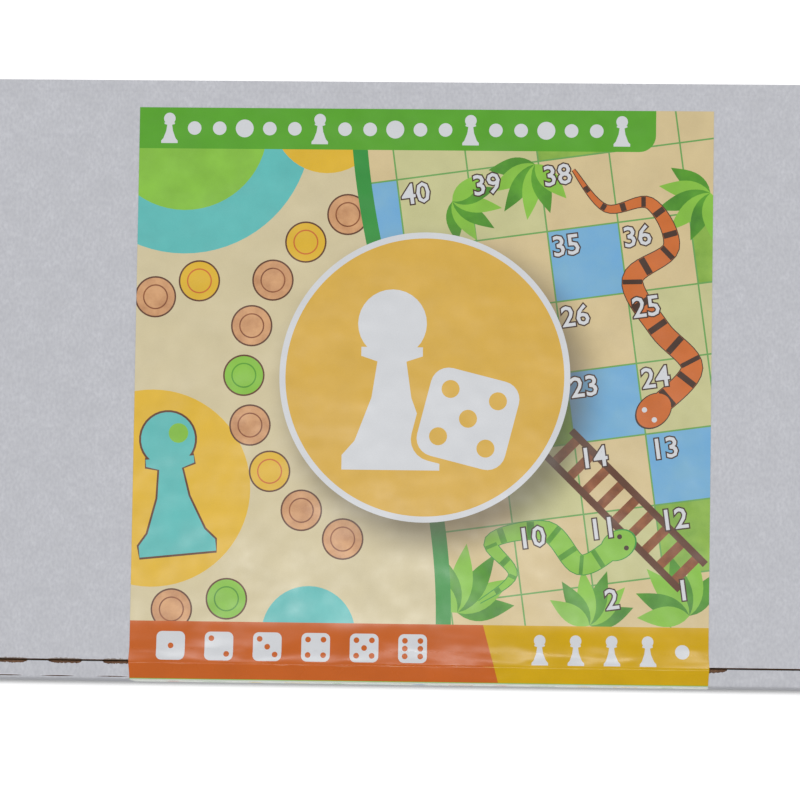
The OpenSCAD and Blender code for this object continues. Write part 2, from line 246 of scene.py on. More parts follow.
LINER_TONE, LINER_FLECK = (193, 194, 199), (172, 173, 180)
white_x, white_y, white_z = liners("white", LINER_TONE, 0.05, 0.00006, LINER_FLECK, 0.78)
kraft_x, kraft_y, kraft_z = liners("kraft", (164, 127, 90), 0.07, 0.0001, (128, 93, 62), 0.85)
core = board_paper("flute_paper", (122, 90, 67), 0.16, 0.0002, (66, 48, 38), 0.9)
frayed = board_paper("frayed_liner", (144, 136, 130), 0.16, 0.0002, (88, 76, 68), 0.9)
# brighter liner for the lip above the outer cuts: ripped fibres and a painted highlight
torn_lip_and_highlight = board_paper("torn_liner", (206, 206, 211), 0.03, 0.0002, (192, 192, 198), 0.9)
FLAP_PAPERS, LID_PAPERS, WALL_PAPERS = (white_x, kraft_x), (white_y, kraft_y), (white_z, kraft_z)
INSERT_PAPERS = (kraft_y, kraft_y)


def bottom_material():
    """White below, kraft on the inside, told apart by height in the panel."""
    g = Surface("bottom_board")
    inside = g.math("GREATER_THAN", g.axes()[2], 0.1 * MM)
    cloud = g.clouds(300)
    below = g.mix(cloud, lin(LINER_TONE, 0.96), lin(LINER_TONE, 1.03))
    above = g.mix(cloud, lin((150, 114, 79)), lin((172, 135, 97)))
    grain = g.bump(g.noise(2400), 0.25, 0.00008)
    return g.finish(g.mix(inside, below, above), g.spread(cloud, 0, 1, 0.75, 0.85), grain, 0.25)


def ink(name, rgb, vary=0.05, rough=0.24, shaded=False, second=None, scale=90, creased=False):
    """Printing ink on coated paper: soft tone changes, a fine screen grain and slightly uneven gloss."""
    g = Surface(name)
    colour = g.mix(g.clouds(scale), lin(second or rgb, 1 - vary), lin(rgb, 1 + vary))
    colour = g.mix(g.clouds(2400, 1.0), colour, lin(rgb, 1.4), 0.1)
    if shaded:  # printed drop shadow round the disc
        middle = [(a + b) * MM for a, b in zip(DISC, SHADE_SHIFT)]
        flat = g.vector("MULTIPLY", g.vector("SUBTRACT", g.coord, (*middle, TOP * MM)), (1, 1, 0))
        away = g.vector("LENGTH", flat)
        shade = g.spread(away, SHADE_FROM * MM, SHADE_TO * MM, 0.72, 0.0, "SMOOTHSTEP")
        colour = g.mix(shade, colour, lin((74, 66, 58)))
    waver = g.bump(g.noise(38, 2.0), 0.5, 0.0012)
    if creased:  # fine wrinkles of the paper along the slit
        near = g.spread(g.axes()[1], (SEAM + 1) * MM, (SEAM + 15) * MM, 1.0, 0.0, "SMOOTHSTEP")
        folds = g.math("MULTIPLY", g.noise(85, 1.5, (0.35, 1, 1)), near)
        waver = g.bump(folds, 0.6, 0.0025, waver)
    return g.finish(colour, g.spread(g.noise(60), 0.3, 0.7, rough - 0.05, rough + 0.07), waver, 0.16)


# Meshes

def make(name, verts, faces, fmats, mats, body, nodes=(), smooth=None, normals=None):
    """Mesh object that rides on a body, in place of the nodes."""
    me = bpy.data.meshes.new(name)
    me.from_pydata((np.asarray(verts, float) * MM).tolist(), [], faces)
    for m in mats:
        me.materials.append(m)
    me.polygons.foreach_set("material_index", np.asarray(fmats, np.int32))
    if smooth is not None:
        me.polygons.foreach_set("use_smooth", np.asarray(smooth, bool))
    me.update()
    if normals is not None:
        me.normals_split_custom_set(normals)
    ob = bpy.data.objects.new(name, me)
    scene.collection.objects.link(ob)
    if body:
        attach(ob, body)
    if nodes:
        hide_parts(*nodes)
    return ob


def dress(node, material):
    """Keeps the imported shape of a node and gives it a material."""
    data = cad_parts[node].data
    data.materials.clear()
    data.materials.append(material)


class Shell:
    """Gathers closed shells into one mesh."""

    def __init__(self):
        self.verts, self.faces, self.mats = [], [], []

    def prism(self, upper, lower, m_upper, m_side, m_lower):
        """Solid between two rings of points, the upper one counter-clockwise seen from outside."""
        n, s = len(upper), len(self.verts)
        self.verts += [tuple(p) for p in upper] + [tuple(p) for p in lower]
        self.faces.append(list(range(s, s + n)))
        self.faces.append(list(range(s + 2 * n - 1, s + n - 1, -1)))
        self.mats += [m_upper, m_lower]
        for i in range(n):
            j = (i + 1) % n
            self.faces.append([s + i, s + n + i, s + n + j, s + j])
            self.mats.append(m_side)


def unit(v):
    return v / np.linalg.norm(v)


def left(v):
    """A plane vector turned a quarter to the left."""
    return np.array((-v[1], v[0]))


def inset(poly, rates, depth):
    """Outline of a panel at a depth: each edge moves in by its mitre rate."""
    out, n = [], len(poly)
    for i in range(n):
        a, b, c = (np.array(poly[k % n], float) for k in (i - 1, i, i + 1))
        r0, r1 = rates[i - 1], rates[i]
        if r0 == 0 and r1 == 0:
            out.append(b)
            continue
        d0, d1 = unit(b - a), unit(c - b)
        p0, p1 = b + left(d0) * r0 * depth, b + left(d1) * r1 * depth
        out.append(p0 + d0 * (left(p1 - p0) @ d1) / (left(d0) @ d1))
    return out


def crossings(ring, axis, at):
    """Lowest and highest coordinate along axis where the outline crosses the line at."""
    found, other, n = [], 1 - axis, len(ring)
    for i in range(n):
        a, b = ring[i], ring[(i + 1) % n]
        if (a[other] - at) * (b[other] - at) < 0:
            found.append(a[axis] + (b[axis] - a[axis]) * (at - a[other]) / (b[other] - a[other]))
    return (min(found), max(found)) if len(found) > 1 else None


class Panel:
    """Flat piece of corrugated board: v and the outward normal n are given, u follows."""

    END_GAP, SIDE_GAP = 0.06, 0.02  # the wave paper keeps clear of the cut edges

    def __init__(self, origin, v, n, poly, rates=None, flute="u", span=None, shell=None, skin=True):
        self.o, self.v, self.n = (np.array(x, float) for x in (origin, v, n))
        self.u = np.cross(self.v, self.n)
        self.poly, self.rates = poly, rates or [0] * len(poly)
        self.shell = shell or Shell()
        if skin:
            self.liner(0, LINER, 0, 2, 2)
        self.medium(0 if flute == "u" else 1, span)
        self.liner(SHEET - LINER, SHEET, 2, 2, 1)

    def at(self, p, depth):
        return self.o + self.u * p[0] + self.v * p[1] - self.n * depth

    def liner(self, d0, d1, m_out, m_side, m_in):
        rings = [[self.at(p, d) for p in inset(self.poly, self.rates, d)] for d in (d0, d1)]
        self.shell.prism(rings[0], rings[1], m_out, m_side, m_in)

    def medium(self, axis, span):
        """Wave paper between the liners, each sample running from edge to edge along the flute."""
        ring = inset(self.poly, self.rates, SHEET / 2)
        across = [p[1 - axis] for p in ring]
        lo, hi = span or (min(across), max(across))
        count = max(4, int((hi - lo) / FLUTE_PITCH * FLUTE_SAMPLES))
        swing = (SHEET - 2 * LINER - MEDIUM) / 2
        rows, s = [], len(self.shell.verts)
        for c in np.linspace(lo + self.SIDE_GAP, hi - self.SIDE_GAP, count + 1):
            ends = crossings(ring, axis, c)
            if ends is None:
                continue
            depth = SHEET / 2 + swing * math.sin(2 * math.pi * c / FLUTE_PITCH)
            for e in (ends[0] + self.END_GAP, ends[1] - self.END_GAP):
                p = (e, c) if axis == 0 else (c, e)
                for side in (-MEDIUM / 2, MEDIUM / 2):
                    self.shell.verts.append(tuple(self.at(p, depth + side)))
            rows.append(s + 4 * len(rows))
        quads = []
        for a, b in zip(rows, rows[1:]):
            quads += [[a, a + 2, b + 2, b], [a + 1, b + 1, b + 3, a + 3],
                      [a, b, b + 1, a + 1], [a + 2, a + 3, b + 3, b + 2]]
        first, last = rows[0], rows[-1]
        quads += [[first, first + 1, first + 3, first + 2], [last, last + 2, last + 3, last + 1]]
        if axis == 1:
            quads = [q[::-1] for q in quads]
        self.shell.faces += quads
        self.shell.mats += [2] * len(quads)


def board_piece(name, shell, papers, body, node):
    """Corrugated board in place of a node; the papers are its outer and its inner face."""
    make(name, shell.verts, shell.faces, shell.mats, [*papers, core], body, [node])


def panel(node, papers, body, *shape, slot=CARTON_SLOT, **more):
    """One flat panel in place of a node."""
    board_piece(node + "_board", Panel(*shape, **more).shell, papers, body, node)


def rect(u0, v0, u1, v1):
    return [(u0, v0), (u1, v0), (u1, v1), (u0, v1)]


def arc(cx, cy, r, a0, a1, n=10):
    """Points of an arc from one angle to another, in degrees."""
    angles = [math.radians(a0 + (a1 - a0) * k / n) for k in range(n + 1)]
    return [(cx + r * math.cos(a), cy + r * math.sin(a)) for a in angles]


# Flat arrangement of painted outlines

def within(points, starts, ends):
    """Which points the directed sides go round, by their winding."""
    winding = np.zeros(len(points), int)
    x, y = points.T
    for (x0, y0), (x1, y1) in zip(starts, ends):
        turn = (x1 - x0) * (y - y0) - (x - x0) * (y1 - y0)
        winding += (y0 <= y) & (y1 > y) & (turn > 0)
        winding -= (y0 > y) & (y1 <= y) & (turn < 0)
    return winding != 0


class Art:
    """Outlines painted one over the other and cut into one flat mesh, each face with the topmost ink."""

    def __init__(self, base, base_ink):
        self.coords, self.edges, self.shapes = [], [], []
        self.clip = None
        self.add(base_ink, base)

    def stamp(self, material, points, sides):
        """Paints what the sides go round, which are pairs of point numbers; returns the shape's number."""
        s, first = len(self.coords), len(self.edges)
        self.coords += [Vector((p[0], p[1])) for p in points]
        self.edges += [(s + i, s + j) for i, j in sides]
        self.shapes.append((material, slice(first, len(self.edges)), self.clip))
        return len(self.shapes) - 1

    def add(self, material, outline):
        n = len(outline)
        return self.stamp(material, outline, [(i, (i + 1) % n) for i in range(n)])

    def many(self, material, outlines):
        for outline in outlines:
            self.add(material, outline)

    def score(self, half, heights):
        """Level lines that the faces are cut along, a little past both ends."""
        for v in heights:
            s = len(self.coords)
            self.coords += [Vector((-half - 1, v)), Vector((half + 1, v))]
            self.edges.append((s, s + 1))

    def solve(self):
        """Points, triangles and the ink of each; None among the inks is a hole, a string a mask."""
        points, _, tris, *_ = delaunay_2d_cdt(self.coords, self.edges, [], 0, 1e-4, False)
        flat = np.array([tuple(p) for p in points])
        tris = np.array(tris)
        corners, sides = np.array([tuple(p) for p in self.coords]), np.array(self.edges)
        middle = flat[tris].mean(1)
        by_x = np.argsort(middle[:, 0], kind="stable")
        sorted_x = middle[by_x, 0]
        top = np.full(len(tris), -1)
        masks = {}
        for k, (material, span, clip) in enumerate(self.shapes):
            starts, ends = corners[sides[span, 0]], corners[sides[span, 1]]
            (x0, y0), (x1, y1) = starts.min(0), starts.max(0)
            near = by_x[slice(*np.searchsorted(sorted_x, (x0, x1)))]
            near = near[(middle[near, 1] >= y0) & (middle[near, 1] <= y1)]
            inside = near[within(middle[near], starts, ends)]
            if clip is not None:
                inside = inside[masks[clip][inside]]
            if material == "mask":
                masks[k] = np.zeros(len(tris), bool)
                masks[k][inside] = True
            else:
                top[inside] = k
            if k == 0:
                base = np.sort(inside)
        inks = [shape[0] for shape in self.shapes]
        kept = [i for i in base if inks[top[i]] is not None]
        return flat, [tuple(int(j) for j in tris[i]) for i in kept], [inks[top[i]] for i in kept]


def sheet(name, solved, upper, lower, rim, body, nodes=(), keep=None):
    """Thin closed sheet from a solved arrangement; upper and lower place arrays of flat points."""
    flat, tris, inks = solved
    if keep is not None:
        chosen = [keep(flat[list(t)].mean(0)) for t in tris]
        tris = [t for t, c in zip(tris, chosen) if c]
        inks = [k for k, c in zip(inks, chosen) if c]
    used = sorted({i for t in tris for i in t})
    renumber = {old: new for new, old in enumerate(used)}
    tris = [tuple(renumber[i] for i in t) for t in tris]
    u, v = flat[used].T
    top, bottom = upper(u, v), lower(u, v)
    h = 0.02  # step for the slopes
    normals = np.cross(upper(u + h, v) - upper(u - h, v), upper(u, v + h) - upper(u, v - h))
    normals /= np.linalg.norm(normals, axis=1)[:, None]
    mats = {m.name: m for m in [*inks, rim]}
    index = {key: k for k, key in enumerate(mats)}
    n = len(used)
    faces = tris + [tuple(i + n for i in t[::-1]) for t in tris]
    fmats = [index[m.name] for m in inks] + [index[rim.name]] * len(tris)
    loops = [normals[i] for t in tris for i in t] + [-normals[i] for t in tris for i in t[::-1]]
    smooth = [True] * len(faces)
    sides = dict.fromkeys(pair for a, b, c in tris for pair in ((a, b), (b, c), (c, a)))
    for a, b in sides:
        if (b, a) not in sides:
            faces.append((a, a + n, b + n, b))
            fmats.append(index[rim.name])
            smooth.append(False)
            side = np.cross(bottom[a] - top[a], bottom[b] - bottom[a])
            loops += [side / max(np.linalg.norm(side), 1e-9)] * 4
    return make(name, np.vstack([top, bottom]), faces, fmats, mats.values(), body, nodes, smooth,
                [tuple(loop) for loop in loops])


def rounded_path(points, radii):
    """Columns s, y, z, ny, nz of a polyline with filleted corners; the outside is on its right."""
    pts = [np.array(p, float) for p in points]
    dirs = [unit(b - a) for a, b in zip(pts, pts[1:])]
    right = [-left(d) for d in dirs]
    rows = [(pts[0], right[0])]
    for corner, r, d0, d1, out in zip(pts[1:], radii, dirs, dirs[1:], right):
        turn = math.acos(max(-1, min(1, float(d0 @ d1))))
        sign = 1 if left(d0) @ d1 > 0 else -1
        centre = corner - d0 * r * math.tan(turn / 2) - out * r * sign
        for i in range(FILLET + 1):
            c, s = math.cos(turn * i / FILLET), sign * math.sin(turn * i / FILLET)
            n = out * c + left(out) * s
            rows.append((centre + n * r * sign, n))
    rows.append((pts[-1], right[-1]))
    gaps = [0.0] + [np.linalg.norm(b[0] - a[0]) for a, b in zip(rows, rows[1:])]
    return np.array([(s, *p, *n) for s, (p, n) in zip(np.cumsum(gaps), rows)])


def fillet(path, k):
    """Distances along a path of the points of its rounded corner k."""
    return path[1 + k * (FILLET + 1):1 + (k + 1) * (FILLET + 1), 0]


def along(path, lift, start=0.0, wide=lambda u, v: u):
    """Lays flat points along a path from start downwards, raised by lift."""
    def place(u, v):
        y, z, ny, nz = (np.interp(start - v, path[:, 0], path[:, k]) for k in (1, 2, 3, 4))
        return np.stack([wide(u, v), y + ny * lift, z + nz * lift], 1)
    return place


# Carton: walls

panel("back_wall", WALL_PAPERS, "base", (0, BACK, 0), UP, (0, 1, 0),
      rect(-HALF_W, 0, HALF_W, TOP - CREASE_HALF_GAP), [1, 0, 1, 0])

side_y0, side_y1 = FRONT + SHEET, BACK - SHEET
for name, sx in (("left", -1), ("right", 1)):
    ends = (side_y0, side_y1) if sx > 0 else (-side_y1, -side_y0)
    panel("side_wall_" + name, LID_PAPERS, "base", (sx * HALF_W, 0, 0), UP, (sx, 0, 0),
          rect(ends[0], 0, ends[1], TOP), [1, 0, 0, 0], flute="v")

corner_flaps = Shell()
crease = HALF_W - SHEET
free = crease - CORNER_L
for sx in (-1, 1):
    for y, top, n in ((FRONT + SHEET + CORNER_GAP, FRONT_CORNER_TOP, -1),
                      (BACK - SHEET, TOP - SHEET - CORNER_GAP, 1)):
        # the crease is at the side wall, and the free end has a cut corner
        outline = [(free, FLOOR), (crease, FLOOR), (crease, top), (free + CORNER_CUT, top),
                   (free, top - CORNER_CUT)]
        if sx * n > 0:
            outline = [(-u, v) for u, v in outline[::-1]]
        Panel((0, y, 0), UP, (0, n, 0), outline, flute="v", shell=corner_flaps)
board_piece("corner_flap_boards", corner_flaps, FLAP_PAPERS, "base", "corner_flaps")

# Carton: rolled front wall
bend_a = math.tan((math.pi / 2 + ROLL_FALL) / 2)
bend_b = math.tan((math.pi / 2 - ROLL_FALL) / 2)
inner_top, outer_top = TOP - ROUND_A * bend_a, CREASE_B[1] - ROUND_B * bend_b
panel("front_wall_outer", WALL_PAPERS, "base", (0, FRONT, 0), UP, (0, -1, 0),
      rect(-HALF_W, 0, HALF_W, outer_top), [1, 0, bend_b * (1 - ROUND_B / SHEET), 0])

strip_half = STRIP_HI[0]
inner_poly = [(-strip_half, FLOOR)]
for middle in (-TAB_GAP / 2, TAB_GAP / 2):
    t0, t1 = middle - TAB_L / 2, middle + TAB_L / 2
    inner_poly += [(t0, FLOOR), (t0, TAB_END), (t1, TAB_END), (t1, FLOOR)]
inner_poly += [(strip_half, FLOOR), (strip_half, inner_top), (-strip_half, inner_top)]
inner_rates = [0] * len(inner_poly)
inner_rates[-2] = bend_a * (1 - ROUND_A / SHEET)
panel("front_wall_inner", WALL_PAPERS, "base", (0, CREASE_A[0], 0), UP, (0, 1, 0), inner_poly, inner_rates,
      span=(FLOOR, inner_top - 1))

roll = rounded_path([(CREASE_A[0], inner_top - STRIP_DOWN_A), CREASE_A, CREASE_B,
                     (FRONT, outer_top - STRIP_DOWN_B)], [ROUND_A, ROUND_B])
s_a, s_b = fillet(roll, 0).mean(), fillet(roll, 1).min()
strip_art = Art(rect(-strip_half, -roll[-1, 0], strip_half, 0), white_y)
strip_art.score(strip_half, -roll[1:-1, 0])


def ragged(middle, length, low, high, n=16, rag=0.0):
    """Lens between two edges given as functions of -1 to 1, with a ragged upper edge."""
    ks = [-1 + 2 * k / n for k in range(n + 1)]
    near = [(middle + length / 2 * k, -low(k)) for k in ks]
    far = [(middle + length / 2 * k, -high(k) + rng.uniform(-rag, rag) * (1 - k * k)) for k in ks[1:-1]]
    return near + far[::-1]


def bulge(at, size=0.0, power=2):
    """Edge of a lens that stands off by size in its middle."""
    return lambda k: at + size * (1 - k ** power)


reach = strip_half - CUT_LEN / 2 - CUT_MARGIN
cuts = []
first_cut = math.ceil((-reach - CUT_SHIFT) / CUT_PITCH)
last_cut = math.floor((reach - CUT_SHIFT) / CUT_PITCH)
for i in range(first_cut, last_cut + 1):
    if i == CUT_SHUT:
        continue
    x = i * CUT_PITCH + CUT_SHIFT
    long = CUT_LEN * rng.uniform(*CUT_LONG)
    cuts.append((x, long))
    gape = CUT_GAPE * rng.uniform(*CUT_WIDE) * (GAPE_LEFT if x < 0 else GAPE_RIGHT)
    skew, blunt = rng.uniform(*CUT_SKEW), rng.choice(CUT_BLUNT)
    strip_art.add(None, ragged(x, long, bulge(CUT_START),
                               lambda k: s_a + gape * (1 - k ** blunt) * (1 + skew * k), 34, CUT_RAG))
    if x > strip_half / 2:
        continue
    outer = OUTER_GAPE * (rng.uniform(*OUTER_WIDE) if x < 0 else OUTER_RIGHT)
    x += rng.uniform(*OUTER_SHIFT)
    # brighter lip just above the outer cut: ripped fibres and a painted highlight of the lifted edge
    strip_art.add(torn_lip_and_highlight, ragged(x, long + 2 * TORN_HIGHLIGHT_PAST, bulge(s_b - TORN_HIGHLIGHT_RIM, -0.75 * outer),
                               bulge(s_b, 0.5 * outer), rag=TORN_HIGHLIGHT_RAG))
    strip_art.add(None, ragged(x, long, bulge(s_b - 0.02, -0.5 * outer), bulge(s_b + 0.02, 0.5 * outer),
                               rag=OUTER_RAG))
sheet("front_wall_top_liner", strip_art.solve(), along(roll, 0.0), along(roll, -LINER), core, "base",
      ["front_wall_top"])

# Fluted core below the strip, rough where the cuts lay it open
crease_a, crease_b = np.array(CREASE_A), np.array(CREASE_B)
rough_line = [crease_a + (-0.28, -0.75), crease_a + (-0.8, -0.62),
              crease_b + (1.1, -0.55), crease_b + (0.35, -0.95)]
foot_line = [crease_b + (1.9, -1.6), crease_a + (-1.9, -2.5)]
ring = len(rough_line) + len(foot_line)
verts, faces = [], []
for x in np.linspace(CORE_END - strip_half, strip_half - CORE_END, CORE_STEPS + 1):
    verts += [(x, y + rng.uniform(*CORE_ROUGH_Y), z + rng.uniform(*CORE_ROUGH_Z)) for y, z in rough_line]
    verts += [(x, y, z) for y, z in foot_line]
for k in range(CORE_STEPS):
    for j in range(ring):
        a, b = k * ring + j, k * ring + (j + 1) % ring
        faces.append([a, b, b + ring, a + ring])
faces += [list(range(ring))[::-1], [CORE_STEPS * ring + j for j in range(ring)]]
make("front_wall_top_core", verts, faces, [0] * len(faces), [core], "base", ())

dress("bottom_panel", bottom_material())


# Carton: lid and its flaps

def dip(y):
    """How far the lid and the label sink towards the slit."""
    return -DIP_DEPTH * np.clip((DIP_START - y) / (DIP_START - SEAM), 0, 1.05) ** 2


ear_lo, ear_hi = mm_box("lid_ear_right")
lid_x, tuck_y, hinge_y = LID_HI[0], LID_LO[1], LID_HI[1]
crease_x = lid_x - CREASE_HALF_GAP
ear_y0, ear_y1 = ear_lo[1] - CREASE_HALF_GAP, ear_hi[1] + CREASE_HALF_GAP
half_lid = [(lid_x, tuck_y), (lid_x, ear_y0), (crease_x, ear_y0), (crease_x, ear_y1), (lid_x, ear_y1),
            (lid_x, hinge_y)]
lid_poly = half_lid + [(-x, y) for x, y in half_lid[::-1]]
lid_rates = [0, 0, FLAP_MITRE, 0, 0, 1.0, 0, 0, FLAP_MITRE, 0, 0, FLAP_MITRE]
lid_board = Panel((0, 0, TOP), (0, 1, 0), UP, lid_poly, lid_rates, skin=False)
board_piece("lid_board", lid_board.shell, LID_PAPERS, "lid", "lid_panel")

lid_art = Art(lid_poly, white_y)
for x, long in cuts:
    if x < 0:  # liner frayed along the cuts
        lid_art.add(frayed, ragged(x, long, bulge(-tuck_y), bulge(-tuck_y, -FRAY, 4), 30, FRAY_RAG))
lid_art.score(lid_x, np.linspace(tuck_y, DIP_START, 13)[1:])


def lid_under(u, v):
    """Underside of the lid's outer liner, trimmed for the creases."""
    y = np.clip(v, tuck_y + LINER * FLAP_MITRE, hinge_y - LINER)
    return np.stack([u, y, TOP + dip(v) - LINER], 1)


sheet("lid_liner", lid_art.solve(), lambda u, v: np.stack([u, v, TOP + dip(v)], 1), lid_under, core, "lid")

# Outer liner, which runs on from the back wall over the hinge crease to the lid
proud_y, proud_z = BACK + HINGE_PROUD, TOP + HINGE_PROUD
hinge_path = rounded_path([(proud_y, TOP - HINGE_REACH), (proud_y, proud_z), (BACK - HINGE_REACH, proud_z)],
                          [HINGE_R])
hinge_art = Art(rect(-lid_x, -hinge_path[-1, 0], lid_x, 0), white_y)
hinge_art.add(white_z, rect(-lid_x, -fillet(hinge_path, 0)[FILLET // 2], lid_x, 0))
hinge_art.score(lid_x, -hinge_path[1:-1, 0])
hinge_art.score(lid_x, -np.linspace(HINGE_REACH - HINGE_BEND, HINGE_REACH + HINGE_BEND, 13))
hinge_liner = sheet("hinge_liner", hinge_art.solve(), along(hinge_path, 0.0),
                    along(hinge_path, -2 * HINGE_PROUD), core, None)
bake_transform(hinge_liner)


def flap(node, papers, body, origin, v, n, ends, flute):
    """Flap hanging from the crease at v 0: wide at the top, rounded at its lower corners."""
    y0, y1, b0, b1 = ends
    low = FLAP_R - FLAP_L
    poly = [(y0, -FLAP_STRAIGHT), *arc(b0 + FLAP_R, low, FLAP_R, 180, 270),
            *arc(b1 - FLAP_R, low, FLAP_R, 270, 360), (y1, -FLAP_STRAIGHT),
            (y1, -CREASE_HALF_GAP), (y0, -CREASE_HALF_GAP)]
    rates = [0] * len(poly)
    rates[-2] = FLAP_MITRE
    panel(node, papers, body, origin, v, n, poly, rates, flute=flute)


x0, x1 = (corner[0] for corner in mm_box("tuck_flap"))
lean_c, lean_s = math.cos(FLAP_LEAN), math.sin(FLAP_LEAN)
flap("tuck_flap", WALL_PAPERS, "tuck", (0, tuck_y - CREASE_HALF_GAP, TOP), (0, -lean_s, lean_c),
     (0, -lean_c, -lean_s), (x0, x1, x0 + TUCK_TAPER, x1 - TUCK_TAPER), "u")
y0, y1 = ear_lo[1], ear_hi[1]
ear_ends = (y0, y1, y0 + EAR_TAPER_FRONT, y1 - EAR_TAPER_BACK)
mirrored = (-y1, -y0, EAR_TAPER_BACK - y1, -y0 - EAR_TAPER_FRONT)
for name, sx, ends in (("left", -1, mirrored), ("right", 1, ear_ends)):
    flap("lid_ear_" + name, LID_PAPERS, "ear_" + name, (sx * lid_x, 0, TOP), (sx * lean_s, 0, lean_c),
         (sx * lean_c, 0, -lean_s), ends, "v")

# Insert
notch_y = (DECK_LO[1] + DECK_HI[1]) / 2
notch_z = DECK_HI[2] - NOTCH_DEPTH + NOTCH_R
deck_poly = [(DECK_LO[0], DECK_LO[1]), (DECK_HI[0], DECK_LO[1]),
             *arc(DECK_HI[0], notch_y, NOTCH_R, 270, 90, 24),
             (DECK_HI[0], DECK_HI[1]), (DECK_LO[0], DECK_HI[1])]
panel("insert_deck", INSERT_PAPERS, "base", (0, 0, DECK_HI[2]), (0, 1, 0), UP, deck_poly, slot=INSERT_SLOT)


def notched(y0, y1, top):
    """Upright insert wall from the floor with the round finger notch in its upper edge."""
    a = math.degrees(math.asin((notch_z - top) / NOTCH_R))
    return [(y0, FLOOR), (y1, FLOOR), (y1, top), *arc(notch_y, notch_z, NOTCH_R, -a, a - 180, 24), (y0, top)]


for node, x, sx, top in (("insert_leg_left", DECK_LO[0], -1, DECK_LO[2]),
                         ("insert_leg_right", DECK_HI[0], 1, DECK_LO[2]),
                         ("insert_divider", DIVIDER_HI[0], 1, DIVIDER_HI[2])):
    poly = rect(-DECK_HI[1], FLOOR, -DECK_LO[1], top) if sx < 0 else notched(DECK_LO[1], DECK_HI[1], top)
    panel(node, INSERT_PAPERS, "base", (x, 0, 0), UP, (sx, 0, 0), poly, flute="v", slot=INSERT_SLOT)


# Printed shapes, all as lists of points

def circle(cx, cy, r, n=48):
    return arc(cx, cy, r, 0, 360, n)[:-1]


def spin(poly, angle, cx=0.0, cy=0.0, scale=1.0):
    """Turned about the origin, scaled and moved."""
    c, s = math.cos(math.radians(angle)) * scale, math.sin(math.radians(angle)) * scale
    return [(cx + c * x - s * y, cy + s * x + c * y) for x, y in poly]


def turned(x, y, angle, cx=0.0, cy=0.0):
    """One point turned about the origin and moved."""
    return spin([(x, y)], angle, cx, cy)[0]


def rounded(w, h, r, n=6):
    x, y = w / 2 - r, h / 2 - r
    corners = ((x, y, 0), (-x, y, 90), (-x, -y, 180), (x, -y, 270))
    return [p for cx, cy, a in corners for p in arc(cx, cy, r, a, a + 90, n)]


def leaf(length, width, n=10):
    up = [(length * k / n, width / 2 * math.sin(math.pi * (k / n) ** 0.8)) for k in range(n + 1)]
    return up + [(x, -y) for x, y in up[-2:0:-1]]


def ribbon(points, widths):
    """Outline of a band along a line of points, with one width or a width for each."""
    pts = np.array(points, float)
    ahead, behind = np.vstack([pts[1:], pts[-1:]]), np.vstack([pts[:1], pts[:-1]])
    d = (ahead - behind) / np.linalg.norm(ahead - behind, axis=1)[:, None]
    side = np.stack([-d[:, 1], d[:, 0]], 1) * np.broadcast_to(widths, len(pts))[:, None] / 2
    return [*(pts - side), *(pts + side)[::-1]]


def pawn_icon(h):
    """Pawn seen from the side, standing on the origin."""
    r = 0.19 * h
    body = [(-0.27, 0), (0.27, 0), (0.27, 0.08), (0.2, 0.16), (0.11, 0.4), (0.08, 0.6), (0.17, 0.63),
            (0.17, 0.68)]
    body += [(-x, y) for x, y in body[:1:-1]]
    return [[(x * h, y * h) for x, y in body], circle(0, h - r, r, 32)]


def pawn_print(art, material, h, cx, cy):
    art.many(material, [spin(p, 0, cx, cy) for p in pawn_icon(h)])


PIPS = {1: [(0, 0)], 2: [(-1, 1), (1, -1)], 3: [(-1, 1), (0, 0), (1, -1)],
        4: [(-1, 1), (1, 1), (-1, -1), (1, -1)], 5: [(-1, 1), (1, 1), (0, 0), (-1, -1), (1, -1)],
        6: [(-1, 1), (1, 1), (-1, 0), (1, 0), (-1, -1), (1, -1)]}


def die_icon(art, size, n, cx, cy, face, pip, angle=0.0):
    art.add(face, spin(rounded(size, size, size * 0.2), angle, cx, cy))
    for px, py in PIPS[n]:
        art.add(pip, spin(circle(px * size * 0.27, py * size * 0.27, size * 0.1, 20), angle, cx, cy))


@functools.cache
def glyphs(text, size, thicken):
    """Points and sides of a plain number in the built-in typeface, centred on the origin."""
    curve = bpy.data.curves.new("number", "FONT")
    curve.body, curve.size, curve.offset, curve.resolution_u = text, size, thicken, 2
    curve.align_x, curve.align_y = "CENTER", "CENTER"
    ob = bpy.data.objects.new("number", curve)
    scene.collection.objects.link(ob)
    bpy.context.view_layer.update()
    me = bpy.data.meshes.new_from_object(ob.evaluated_get(bpy.context.evaluated_depsgraph_get()))
    turns = set()
    for p in me.polygons:
        ring = list(p.vertices)
        turns.update(zip(ring, ring[1:] + ring[:1]))
    sides = sorted(t for t in turns if t[::-1] not in turns)
    points = [tuple(v.co.xy) for v in me.vertices]
    bpy.data.objects.remove(ob)
    bpy.data.meshes.remove(me)
    bpy.data.curves.remove(curve)
    return points, sides


def number(art, text, size, cx, cy, fill, edge=None, angle=0.0):
    """Plain number, with an outline where an edge ink is given."""
    for colour, thicken in ((edge, 0.06), (fill, 0.012)):
        if colour:
            points, sides = glyphs(text, size, thicken * size)
            art.stamp(colour, spin(points, angle, cx, cy), sides)


def ladder(art, a, b, width, rail, rung, rails, rungs, count):
    """Ladder from a to b; rail and rung are widths, rails and rungs inks."""
    a, b = np.array(a, float), np.array(b, float)
    side = left(unit(b - a)) * width / 2
    for k in range(count):
        p = a + (b - a) * (k + 0.5) / count
        art.add(rungs, ribbon([p - side * 1.12, p + side * 1.12], rung))
    for s in (-1, 1):
        art.add(rails, ribbon([a + s * side, b + s * side], rail))


